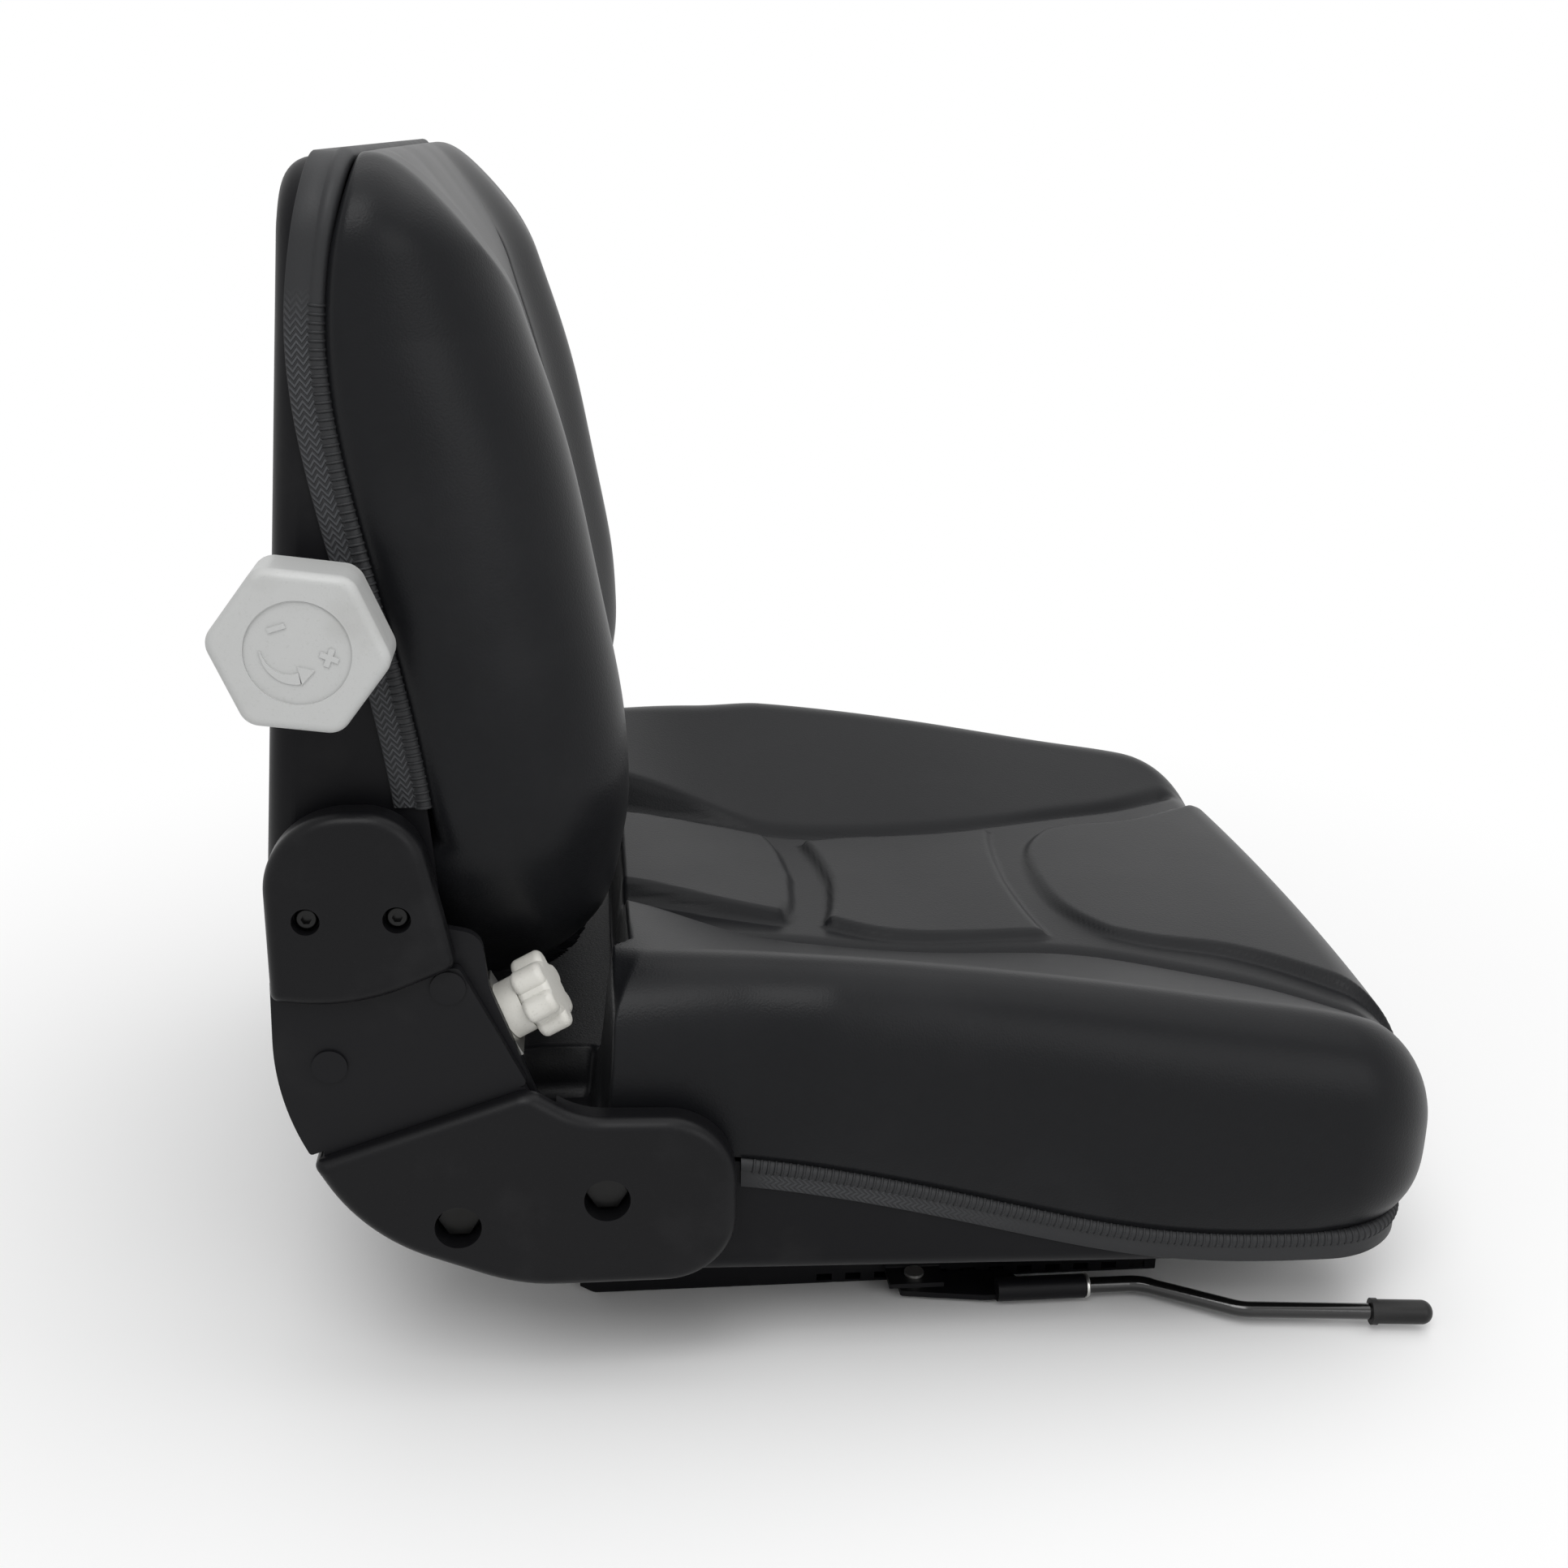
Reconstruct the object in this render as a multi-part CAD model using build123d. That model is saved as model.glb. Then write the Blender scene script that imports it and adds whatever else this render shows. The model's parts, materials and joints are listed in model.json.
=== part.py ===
# A forklift seat on slide rails. Its back reclines on side hinges that a screw adjusts,
# and a turned knob pushes a lumbar plate forwards inside the back.
# The frame is +X forwards, +Y to the sitter's left and +Z up, in millimetres. The origin is
# the centre of the rails' mounting holes, on the undersides of the rails.
# Pieces of the right side are modelled at -Y and mirrored for the left side.
from build123d import *
import math
import os

# Slide rails
rail_length = 300
rail_spacing = 290
rail_width = 42
rail_height = 22
rail_sheet = 2
rail_bend = 2.6
rail_end_chamfer = 9
lip_gap = 21
lip_drop = 7
mount_spacing_x = 230
mount_hole = 9
slide_travel = 75
upper_rail_top = 27
upper_leg_width = 18
foot_height = 6
foot_reach = 17
foot_tip_height = 8
cage_sheet = 0.8
cage_length = 170
cage_clear = 0.5
upper_ball = 5.6
lower_ball = 3.6
ball_pitch = 130
ball_clear = 0.15

# Seat pan, a pressed steel tray
pan_sheet = 1.5
pan_half_width = 228
seat_rear = -228
seat_front = 256
seat_front_bow = 14
seat_front_corner = 45
seat_rear_corner = 14
pan_floor_rear = 52.5
pan_floor_front = 40.2
pan_edge_radius = 10
pan_heel_x = -183
pan_heel_height = 84
pan_heel_slope = 0.72
pan_heel_radius = 100
rim_rear_height = 122
rim_arm_x = -75
rim_arm_height = 110
rim_front_height = 57
boss_spacing = 210
boss_top = 46
boss_foot = 28
bead_depth = 4
bead_width = 14
vent = 45
vent_pitch = 80

# Edge trim of both pans
trim_wall = 2.2
trim_depth = 12
trim_inner_depth = 5
trim_bead = 8
trim_slack = 0.1
seat_trim_start = -74
back_trim_start = 288

# Seat cushion
foam_gap = 0.4
foam_bulge = 8
seat_crest_height = 202
seat_crest_x = -70
seat_crest_fall = 0.00056
seat_valley_height = 155
valley_rear_rise = 0.0014
valley_front_fall = 0.00098
seat_foam_rear = -214
seat_foam_step = -131
seat_foam_shelf = 148
seat_foam_corner = 124
seat_foam_side = 152
seat_foam_front_radius = 26
groove_depth = 6
groove_width = 8

# Hinges, measured outwards from the middle of the seat
arm_gap = 3.5
lower_arm_sheet = 4.5
washer_sheet = 0.9
upper_arm_sheet = 5
cover_outer = 250
cover_wall = 2.5
cover_edge = 6
pivot_x = -256
pivot_z = 173
pivot_radius = 5
pivot_clear = 0.05
rivet_head = 7.7
rivet_proud = 1.2
stop_x = -203.5
stop_z = 209
stop_radius = 4
recline = 12
slot_clear = 0.3

# Screws and bolts
cover_screw_rear_x = -261
cover_screw_front_x = -223
cover_screw_z = 244.5
screw_size = 6
screw_recess = 12
screw_seat = 1.4
arm_bolt_rear_x = -203
arm_bolt_rear_z = 94
arm_bolt_front_x = -136
arm_bolt_front_z = 105
arm_bolt = 10
access_hole = 21
rail_bolt = 8
bolt_clear = 0.25

# Back pan
back_lean = 4.6
back_foot_x = -280
back_foot_z = 264
back_bottom = 190
back_top = 551
back_edge_radius = 13
back_top_corner = 30
back_bottom_corner = 40
nut_gap = 0.2

# Back cushion
back_crest_x = -120
back_crest_z = 270
back_crest_fall = 0.00082
back_panel_recess = 15
back_foam_bottom = 173
back_foam_top = 553
back_foam_waist = 150

# Tilt adjuster, a knob on a screw that moves a nut
tilt_x = -164
tilt_z = 193
tilt_out = 216
tilt_pitch = 28
tilt_knob_round = 14.5
tilt_lobes = 6
tilt_lobe = 6
tilt_knob_depth = 15
tilt_collar = 27
tilt_collar_depth = 10
tilt_screw = 8
thread_lead = 3
nut_length = 15
nut_width = 20
drive_pin = 8

# Lumbar adjuster
lumbar_x = -253
lumbar_z = 368
lumbar_turn = 135
lumbar_lift = 10
cam_start = 7
cam_width = 10
cam_spacing = 120
lumbar_shaft = 8
lumbar_knob_across = 70
lumbar_knob_corner = 9
lumbar_knob_depth = 26
lumbar_knob_turn = -7
lumbar_knob_face = 274
lumbar_recess = 42
lumbar_plate_width = 260
lumbar_plate_height = 110
lumbar_plate_sheet = 3
peg = 8
peg_spacing_y = 220
peg_spacing_z = 80

# Slide latch and its lever
latch_pivot_x = 20
latch_pivot_out = 175.5
latch_level = 3
latch_sheet = 3
latch_tooth_x = 50
latch_pitch = 15
latch_tooth = 5.5
latch_slot = 8
latch_notches = 12
latch_gap = 0.5
latch_turn = 3.3
latch_open = 6
latch_heel = 8
socket_tube = 12
socket_out = 190.5
socket_front = 105
lever_level = 9.2
lever_rod = 8
lever_bend_x = 134
lever_jog_x = 179
lever_jog_out = 217
lever_end_x = 268
lever_end_out = 226
grip_length = 31
grip_size = 12
bracket_sheet = 2.5

# Places worked out from the sizes above
rail_out = rail_spacing / 2
arm_in = pan_half_width + arm_gap
arm_out = arm_in + lower_arm_sheet
upper_in = arm_out + washer_sheet + 0.1
upper_out = upper_in + upper_arm_sheet
tilt_dir = Vector(math.cos(math.radians(tilt_pitch)), 0, math.sin(math.radians(tilt_pitch)))
tilt_centre = Vector(tilt_x, -tilt_out, tilt_z)
pin_along = (Vector(pivot_x, -tilt_out, pivot_z) - tilt_centre).dot(tilt_dir)
pin_centre = tilt_centre + tilt_dir * pin_along
cam_rate = lumbar_lift / math.radians(lumbar_turn)
ball_out = foot_reach - rail_sheet / 2
parts = {}


def side_plane(out):
    """Plane of the right side, drawn in X and Z, whose normal points outwards."""
    return Plane(origin=(0, -out, 0), x_dir=(1, 0, 0), z_dir=(0, -1, 0))


def slab(face, inner, outer):
    """Plate of the right side between two distances from the middle."""
    return extrude(side_plane(inner) * face, amount=outer - inner)


def across(face, half_width):
    """Prism through the seat from a face drawn in X and Z."""
    return extrude(Plane.XZ * face, amount=half_width, both=True)


def rounded(*corners):
    """Face with rounded corners. Each corner is (x, z, radius)."""
    path = [(x, z) for x, z, radius in corners]
    radii = [radius for x, z, radius in corners]
    return make_face(FilletPolyline(*path, radius=radii, close=True))


def side_cylinder(x, z, radius, inner, outer):
    """Round bar of the right side along Y."""
    return slab(Pos(x, z) * Circle(radius), inner, outer)


def upright(x, y, bottom, top, radius):
    """Round bar along Z."""
    return Pos(x, y, (bottom + top) / 2) * Cylinder(radius, top - bottom)


def mirrored(shape):
    """The same piece for the left side."""
    return mirror(shape, about=Plane.XZ)


def both_sides(name, shape):
    """Keep a right piece and its mirrored left one."""
    parts[name + "_right"] = shape
    parts[name + "_left"] = mirrored(shape)


def keep_pair(name, shape):
    """Keep equal small pieces of both sides under one name."""
    parts[name] = Compound(children=shape.solids() + mirrored(shape).solids())


def folded(points, bend, sheet, length):
    """Folded strip along X from a section in Y and Z, thickened to the left of its line."""
    line = FilletPolyline(*points, radius=bend)
    face = make_face(offset(line, amount=sheet, side=Side.LEFT))
    return Pos(-length / 2, 0, 0) * extrude(Plane.YZ * face, amount=length)


# Rails
def lower_rail():
    """Floor channel whose lips turn in and down over the upper rail's feet."""
    half = rail_width / 2
    lip = lip_gap / 2
    section = [
        (-lip, rail_height - lip_drop),
        (-lip, rail_height),
        (-half, rail_height),
        (-half, 0),
        (half, 0),
        (half, rail_height),
        (lip, rail_height),
        (lip, rail_height - lip_drop),
    ]
    rail = folded(section, rail_bend, rail_sheet, rail_length)
    hole = Cylinder(mount_hole / 2, rail_height)
    for x in (-mount_spacing_x / 2, mount_spacing_x / 2):
        rail -= Pos(x, 0, 0) * hole
    wedge = Polygon((0, 0), (rail_end_chamfer, 0), (0, rail_end_chamfer * 0.6), align=None)
    cut = Pos(-rail_length / 2, 0, 0) * across(wedge, rail_width)
    return rail - cut


def upper_rail():
    """Hat channel that slides in the lower rail, with feet turned out and up."""
    leg = upper_leg_width / 2
    tip = foot_height + foot_tip_height
    foot_top = foot_height + rail_sheet
    section = [
        (foot_reach - rail_sheet, tip),
        (foot_reach - rail_sheet, foot_top),
        (leg, foot_top),
        (leg, upper_rail_top),
        (-leg, upper_rail_top),
        (-leg, foot_top),
        (rail_sheet - foot_reach, foot_top),
        (rail_sheet - foot_reach, tip),
    ]
    rail = folded(section, rail_sheet + 0.2, rail_sheet, rail_length)
    for x in (-boss_spacing / 2, boss_spacing / 2):
        rail -= upright(x, 0, foot_top, upper_rail_top + 1, rail_bolt / 2 + bolt_clear)
    return rail


def ball_places():
    """Positions and sizes of the balls of one rail."""
    upper_z = foot_height + foot_tip_height + ball_clear + upper_ball / 2
    lower_z = (rail_sheet + foot_height) / 2
    lower_y = (upper_leg_width / 2 + foot_reach) / 2
    places = []
    for x in (-ball_pitch / 2, ball_pitch / 2):
        for side in (-1, 1):
            places.append((x, side * ball_out, upper_z, upper_ball))
            places.append((x, side * lower_y, lower_z, lower_ball))
    return places


def rail_balls():
    """Steel balls between the two rails."""
    return Compound(children=[Pos(x, y, z) * Sphere(size / 2) for x, y, z, size in ball_places()])


def ball_cage():
    """Thin folded strip that keeps the balls apart."""
    half = rail_width / 2 - rail_sheet - cage_clear
    wing = rail_height - rail_sheet - 3
    floor = (rail_sheet + foot_height - cage_sheet) / 2
    section = [(-half, wing), (-half, floor), (half, floor), (half, wing)]
    cage = folded(section, rail_bend, cage_sheet, cage_length)
    for x, y, z, size in ball_places():
        cage -= Pos(x, y, z) * Sphere(size / 2 + ball_clear)
    return cage


def latch_cuts():
    """Row of notches in the outer wall of the right lower rail."""
    first = latch_tooth_x - (latch_notches / 2 - 1) * latch_pitch
    level = latch_level + latch_sheet / 2
    slot = Box(latch_slot, 4 * rail_sheet, latch_sheet + 0.8)
    row = [
        Pos(first + i * latch_pitch, -rail_width / 2, level) * slot for i in range(latch_notches)
    ]
    return row


def add_rails():
    """Both slides with their balls and cages."""
    right = Pos(0, -rail_out, 0)
    plain = lower_rail()
    notched = plain
    for slot in latch_cuts():
        notched -= slot
    parts["lower_rail_right"] = right * notched
    parts["lower_rail_left"] = Pos(0, rail_out, 0) * plain
    both_sides("upper_rail", right * upper_rail())
    keep_pair("rail_balls", right * rail_balls())
    both_sides("ball_cage", right * ball_cage())


# Seat pan
def seat_plan(grow):
    """Outline of the seat pan seen from above, grown or shrunk all round."""
    w = pan_half_width
    front = ThreePointArc((seat_front, -w), (seat_front + seat_front_bow, 0), (seat_front, w))
    sides = Polyline((seat_front, w), (seat_rear, w), (seat_rear, -w), (seat_front, -w))
    face = make_face([front, sides])
    corners = face.vertices().sort_by(Axis.X)
    face = fillet(corners[2:], seat_front_corner)
    face = fillet(face.vertices().sort_by(Axis.X)[:2], seat_rear_corner)
    return offset(face, grow) if grow else face


def floor_line(x):
    """Height of the pan's sloping underside."""
    share = (x - seat_rear) / (seat_front - seat_rear)
    return pan_floor_rear + share * (pan_floor_front - pan_floor_rear)


def seat_form(inset):
    """Solid that the seat pan wraps, smaller by inset all round."""
    reach = 60
    body = extrude(seat_plan(-inset), amount=300)
    low = rounded(
        (seat_front + reach, floor_line(seat_front + reach) + inset, 1),
        (pan_heel_x, floor_line(pan_heel_x) + inset, pan_heel_radius - inset),
        (seat_rear - reach, pan_heel_height + reach * pan_heel_slope + 1.2 * inset, 1),
        (seat_rear - reach, -50, 1),
        (seat_front + reach, -50, 1),
    )
    body -= across(low, 2 * pan_half_width)
    under = body.faces().filter_by(lambda face: face.normal_at().Z < -0.1)
    walls = body.faces().filter_by(lambda face: abs(face.normal_at().Z) < 0.01)
    edges = set(under.edges()) & set(walls.edges())
    return fillet(edges, pan_edge_radius - inset)


def rim_curve(lift):
    """Side view of the seat pan's rim, from rear to front, raised by lift."""
    return Spline(
        (seat_rear - 60, rim_rear_height + 8 + lift),
        (seat_rear, rim_rear_height + lift),
        (rim_arm_x, rim_arm_height + lift),
        (40, 84 + lift),
        (130, 62 + lift),
        (seat_front - 30, rim_front_height + lift),
        (seat_front + 60, rim_front_height + 3 + lift),
    )


def above_rim(lift):
    """Everything above the seat pan's rim, raised by lift."""
    curve = rim_curve(lift)
    top = Polyline(curve @ 1, (seat_front + 60, 400), (seat_rear - 60, 400), curve @ 0)
    return across(make_face([curve, top]), 2 * pan_half_width)


def boss_x_places():
    """Places of the seat pan's feet along the rails."""
    return (-boss_spacing / 2, boss_spacing / 2)


def pan_foot(x, side, grow):
    """Cone pressed down from the pan's floor to the rail."""
    low = upper_rail_top + grow
    high = floor_line(x) + pan_edge_radius
    wide = boss_top / 2 - grow
    narrow = boss_foot / 2 - grow
    shape = Pos(x, side * rail_out, (low + high) / 2)
    return shape * Cone(narrow, wide, high - low)


def seat_bead(side, grow):
    """Long stiffening swage in the pan's floor."""
    long = seat_front - seat_rear - 150
    tilt = math.degrees(math.atan((pan_floor_rear - pan_floor_front) / (seat_front - seat_rear)))
    bar = SlotOverall(long - 2 * grow, bead_width - 2 * grow)
    base = Pos(20, side * 75, floor_line(20) - bead_depth + grow) * Rot(0, tilt, 0)
    return base * extrude(bar, amount=bead_depth + pan_sheet)


def seat_pan():
    """Pressed tray with conical feet, swages, vents and bolt holes."""
    pan = seat_form(0)
    for side in (-1, 1):
        for x in boss_x_places():
            pan += pan_foot(x, side, 0)
        pan += seat_bead(side, 0)
    hollow = seat_form(pan_sheet)
    for side in (-1, 1):
        for x in boss_x_places():
            hollow += pan_foot(x, side, pan_sheet)
        hollow += seat_bead(side, pan_sheet)
    pan = pan - hollow - above_rim(0)
    for i in (-1, 0, 1):
        pan -= upright(vent_pitch * i, 0, 0, pan_floor_rear + 20, vent / 2)
    for side in (-1, 1):
        for x in boss_x_places():
            pan -= upright(x, side * rail_out, 0, 60, rail_bolt / 2 + bolt_clear)
    return pan - arm_bolt_holes(pan_half_width - 20, pan_half_width + 1)


def arm_bolt_places():
    """Places of the bolts between the lower arms and the seat pan."""
    return (
        (arm_bolt_rear_x, arm_bolt_rear_z),
        (arm_bolt_front_x, arm_bolt_front_z),
    )


def arm_bolt_holes(inner, outer):
    """Clearance holes for the arm bolts of both sides."""
    holes = []
    for x, z in arm_bolt_places():
        bar = side_cylinder(x, z, arm_bolt / 2 + bolt_clear, inner, outer)
        holes += [bar, mirrored(bar)]
    return holes


def seat_ring(outer, inner, low, high):
    """Band round the seat pan's outline between two heights measured from the rim."""
    plan = seat_plan(outer) - seat_plan(-inner)
    band = extrude(plan, amount=300) - above_rim(high)
    return band & above_rim(low)


def seat_trim():
    """Extruded edging with a round bead, gripping the seat pan's rim."""
    grip = seat_ring(trim_wall, -trim_slack, -trim_depth, 1)
    lip = seat_ring(trim_wall, pan_sheet + trim_wall, -trim_inner_depth, 1)
    bead = seat_ring(trim_bead / 2 - 1, pan_sheet + trim_wall, 0.5, trim_bead)
    slot = seat_ring(trim_slack, pan_sheet + trim_slack, -trim_depth - 1, trim_slack)
    trim = grip + lip + bead - slot
    behind = Pos(seat_trim_start - 300, 0, 150) * Box(600, 600, 300)
    return trim - behind


# Seat cushion
def seat_crest(x):
    """Height of the side bolsters at x."""
    return seat_crest_height - seat_crest_fall * (x - seat_crest_x) ** 2


def seat_valley(x):
    """Height of the seat's middle at x."""
    rear = max(0, -20 - x)
    front = max(0, x - 110)
    return seat_valley_height + valley_rear_rise * rear**2 - valley_front_fall * front**2


def seat_section(x):
    """Cross-section of the cushion at x, drawn in Y and Z."""
    wide = pan_half_width + foam_bulge
    crest = seat_crest(x)
    valley = seat_valley(x)
    base = 30
    groove = 112 + 0.14 * (x + 120)
    side = (valley + crest) / 2
    top = Spline(
        (-wide, base),
        (-wide, crest - 62),
        (-wide + 10, crest - 16),
        (-wide + 34, crest),
        (-groove - 22, side),
        (-groove + 12, valley + 1),
        (0, valley),
        (groove - 12, valley + 1),
        (groove + 22, side),
        (wide - 34, crest),
        (wide - 10, crest - 16),
        (wide, crest - 62),
        (wide, base),
    )
    face = make_face([top, Line((wide, base), (-wide, base))])
    return Plane(origin=(x, 0, 0), x_dir=(0, 1, 0), z_dir=(1, 0, 0)) * face


def seat_foam_stations():
    """Even steps along the seat at which its section is drawn."""
    first = seat_rear - 20
    last = seat_front + 30
    steps = 5
    return [first + (last - first) * i / steps for i in range(steps + 1)]


def seat_foam_block():
    """Upper part of the cushion, with rounded ends in plan and at the front."""
    block = loft([seat_section(x) for x in seat_foam_stations()])
    plan = extrude(seat_plan(foam_bulge), amount=400)
    nose = seat_front + seat_front_bow + foam_bulge
    front = rounded(
        (nose, -20, 0.5),
        (nose, 74, 30),
        (nose - 2, seat_valley(seat_front) - 8, seat_foam_front_radius),
        (nose - 130, 230, 20),
        (-400, 230, 0.5),
        (-400, -20, 0.5),
    )
    return block & plan & across(front, 300)


def back_clearance():
    """Space behind the seat cushion's bolsters that the back and the tilt knob need."""
    gap = rounded(
        (seat_foam_step, 300, 1),
        (seat_foam_step, seat_foam_shelf + 14, 16),
        (seat_foam_rear + 10, seat_foam_shelf, 10),
        (seat_foam_rear + 10, 60, 1),
        (-400, 60, 1),
        (-400, 300, 1),
    )
    return across(gap, 300)


def knob_clearance():
    """Corner left free behind each bolster for the hinge and the tilt screw."""
    block = Box(200, 100, 200, align=(Align.MAX, Align.MAX, Align.MIN))
    corner = Pos(seat_foam_step - 8, -182, seat_foam_corner) * block
    relief = Box(200, 40, 120, align=(Align.MAX, Align.MAX, Align.MAX))
    side = Pos(seat_trim_start + 2, foam_gap - arm_in, seat_foam_side) * relief
    return [corner, mirrored(corner), side, mirrored(side)]


def groove_plan():
    """Seat grooves seen from above: two long side lines and two curved cross lines."""
    half = groove_width / 2
    side = FilletPolyline((-206, 78), (-120, 92), (20, 78), (118, 92), (250, 172), radius=120)
    rear = ThreePointArc((-52, -84), (-24, 0), (-52, 84))
    front = ThreePointArc((104, -92), (82, 0), (104, 92))
    face = make_face(offset(side, amount=half, side=Side.BOTH))
    face += mirrored(face)
    for line in (rear, front):
        face += make_face(offset(line, amount=half, side=Side.BOTH))
    return face


def seat_cushion():
    """Moulded cushion with raised bolsters and sunk seam lines."""
    block = seat_foam_block() & above_rim(trim_bead + foam_gap)
    sunk = Pos(0, 0, -groove_depth) * block
    block -= extrude(Pos(0, 0, seat_foam_corner) * groove_plan(), amount=100) - sunk
    for cut in [back_clearance()] + knob_clearance():
        block -= cut
    plug = seat_form(pan_sheet + trim_wall + foam_gap) - above_rim(trim_bead + foam_gap + 2)
    plug -= Pos(seat_foam_rear - 200, 0, 150) * Box(400, 600, 300)
    for x, z in arm_bolt_places():
        pocket = side_cylinder(x, z, arm_bolt + 1.5, pan_half_width - 22, pan_half_width)
        plug -= pocket
        plug -= mirrored(pocket)
    return block + plug


# Back pan
def back_plan(grow):
    """Outline of the back pan seen from the front, in Y and Z."""
    w = pan_half_width + grow
    corners = [
        (-w, back_bottom - grow, back_bottom_corner + grow),
        (w, back_bottom - grow, back_bottom_corner + grow),
        (w, back_top + grow, back_top_corner + grow),
        (-w, back_top + grow, back_top_corner + grow),
    ]
    return rounded(*corners)


def back_prism(grow):
    """Long prism along X with the back pan's outline."""
    return Pos(-400, 0, 0) * extrude(Plane.YZ * back_plan(grow), amount=400)


def rear_line(z):
    """Place of the back pan's leaning rear face at height z."""
    return back_foot_x + (z - back_foot_z) * math.tan(math.radians(back_lean))


def back_form(inset):
    """Solid that the back pan wraps, smaller by inset all round."""
    behind = Polyline(
        (rear_line(0) + inset, 0),
        (rear_line(700) + inset, 700),
        (-500, 700),
        (-500, 0),
        close=True,
    )
    body = back_prism(-inset) - across(make_face(behind), 400)
    edges = body.faces().sort_by(Axis.X)[0].edges()
    return fillet(edges, back_edge_radius - inset)


def back_rim_curve(lift):
    """Side view of the back pan's rim from bottom to top, moved forwards by lift."""
    return Spline(
        (-207 + lift, back_bottom - 60),
        (-206 + lift, back_bottom),
        (-210 + lift, 285),
        (-231 + lift, 395),
        (-243 + lift, 490),
        (-232 + lift, back_top),
        (-222 + lift, back_top + 40),
    )


def before_rim(lift):
    """Everything in front of the back pan's rim, moved forwards by lift."""
    curve = back_rim_curve(lift)
    front = Polyline(curve @ 1, (0, back_top + 40), (0, back_bottom - 60), curve @ 0)
    return across(make_face([curve, front]), 2 * pan_half_width)


def cover_screw_places():
    """Places of the screws that hold each upper cover, arm and pan together."""
    return ((cover_screw_rear_x, cover_screw_z), (cover_screw_front_x, cover_screw_z))


def back_pan():
    """Pressed dish with holes for the hinge screws and the lumbar bushes."""
    pan = back_form(0) - back_form(pan_sheet) - before_rim(0)
    for x, z in cover_screw_places():
        hole = side_cylinder(x, z, screw_size / 2 + bolt_clear, pan_half_width - 20, 260)
        pan -= [hole, mirrored(hole)]
    shaft = side_cylinder(lumbar_x, lumbar_z, bush_radius(), pan_half_width - 20, 260)
    return pan - [shaft, mirrored(shaft)]


def back_ring(outer, inner, low, high):
    """Band round the back pan's outline between two distances from its rim."""
    band = back_prism(outer) - back_prism(-inner) - before_rim(high)
    return band & before_rim(low)


def back_trim():
    """The same edging round the back pan, cut square at both lower ends."""
    grip = back_ring(trim_wall, -trim_slack, -trim_depth, 1)
    lip = back_ring(trim_wall, pan_sheet + trim_wall, -trim_inner_depth, 1)
    bead = back_ring(trim_bead / 2 - 1, pan_sheet + trim_wall, 0.5, trim_bead - 1)
    slot = back_ring(trim_slack, pan_sheet + trim_slack, -trim_depth - 1, trim_slack)
    below = Pos(-250, 0, back_trim_start - 200) * Box(400, 600, 400)
    return grip + lip + bead - slot - below


# Back cushion
def back_crest(z):
    """Front of the back's side bolsters at height z."""
    return back_crest_x - back_crest_fall * (z - back_crest_z) ** 2


def back_section(z):
    """Cross-section of the back cushion at height z, drawn in X and Y."""
    base = -300
    full = pan_half_width + foam_bulge
    low = max(0, (back_crest_z + 20 - z) / (back_crest_z + 20 - back_foam_bottom))
    wide = full - (full - back_foam_waist) * low**1.8
    crest = back_crest(z)
    panel = crest - back_panel_recess
    top = Spline(
        (base, -wide),
        (crest - 75, -wide),
        (crest - 28, -wide + 12),
        (crest, -wide + 52),
        (panel + 2, -wide + 112),
        (panel, 0),
        (panel + 2, wide - 112),
        (crest, wide - 52),
        (crest - 28, wide - 12),
        (crest - 75, wide),
        (base, wide),
    )
    face = make_face([top, Line((base, wide), (base, -wide))])
    return Pos(0, 0, z) * face


def back_foam_stations():
    """Even steps up the back at which its section is drawn."""
    first = back_foam_bottom - 10
    last = back_foam_top + 20
    steps = 5
    return [first + (last - first) * i / steps for i in range(steps + 1)]


def back_foam_block():
    """Front part of the back cushion, rounded at its foot and head."""
    block = loft([back_section(z) for z in back_foam_stations()])
    profile = rounded(
        (-300, back_foam_bottom + 8, 1),
        (-190, back_foam_bottom + 4, 12),
        (-148, back_foam_bottom, 20),
        (-108, 256, 60),
        (-108, 380, 60),
        (-183, back_foam_top, 40),
        (-300, back_foam_top, 1),
    )
    return block & across(profile, 300) & back_prism(foam_bulge)


def lumbar_pocket():
    """Hollow in the cushion's rear for the lumbar plate and its shaft."""
    front = lumbar_x + cam_start + lumbar_plate_sheet + lumbar_lift + 2
    depth = 60
    pocket = Box(depth, lumbar_plate_width + 16, lumbar_plate_height + 16)
    box = Pos(front - depth / 2, 0, lumbar_z) * pocket
    tunnel = Box(2 * cam_radius(), 2 * pan_half_width + 40, 2 * lumbar_shaft + 6)
    return [box, Pos(lumbar_x, 0, lumbar_z) * tunnel]


def back_cushion():
    """Moulded back cushion with side bolsters, a foot that clears the hinges, and a pocket."""
    lift = trim_bead - 1 + foam_gap
    block = back_foam_block() & before_rim(lift)
    plug = back_form(pan_sheet + trim_wall + foam_gap) - before_rim(lift + 2)
    for x, z in cover_screw_places():
        hollow = side_cylinder(x, z, screw_size + 2, pan_half_width - 14, pan_half_width)
        plug -= [hollow, mirrored(hollow)]
    return block + plug - lumbar_pocket()


# Hinge arms and covers
def upper_cover_outline():
    """Outline of the upper cover in X and Z."""
    return (
        (-278.5, 206.5, 4),
        (-278.5, 292, 36),
        (-214.7, 292, 26),
        (-199.5, 220, 5),
        (-243, 202, 90),
    )


def lower_cover_outline():
    """Outline of the lower cover in X and Z."""
    return (
        (-266, 127, 3),
        (-245, 89, 90),
        (-176, 60, 90),
        (-77, 60, 33),
        (-77, 143, 33),
        (-147, 145, 40),
        (-170, 159.5, 12),
    )


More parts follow.
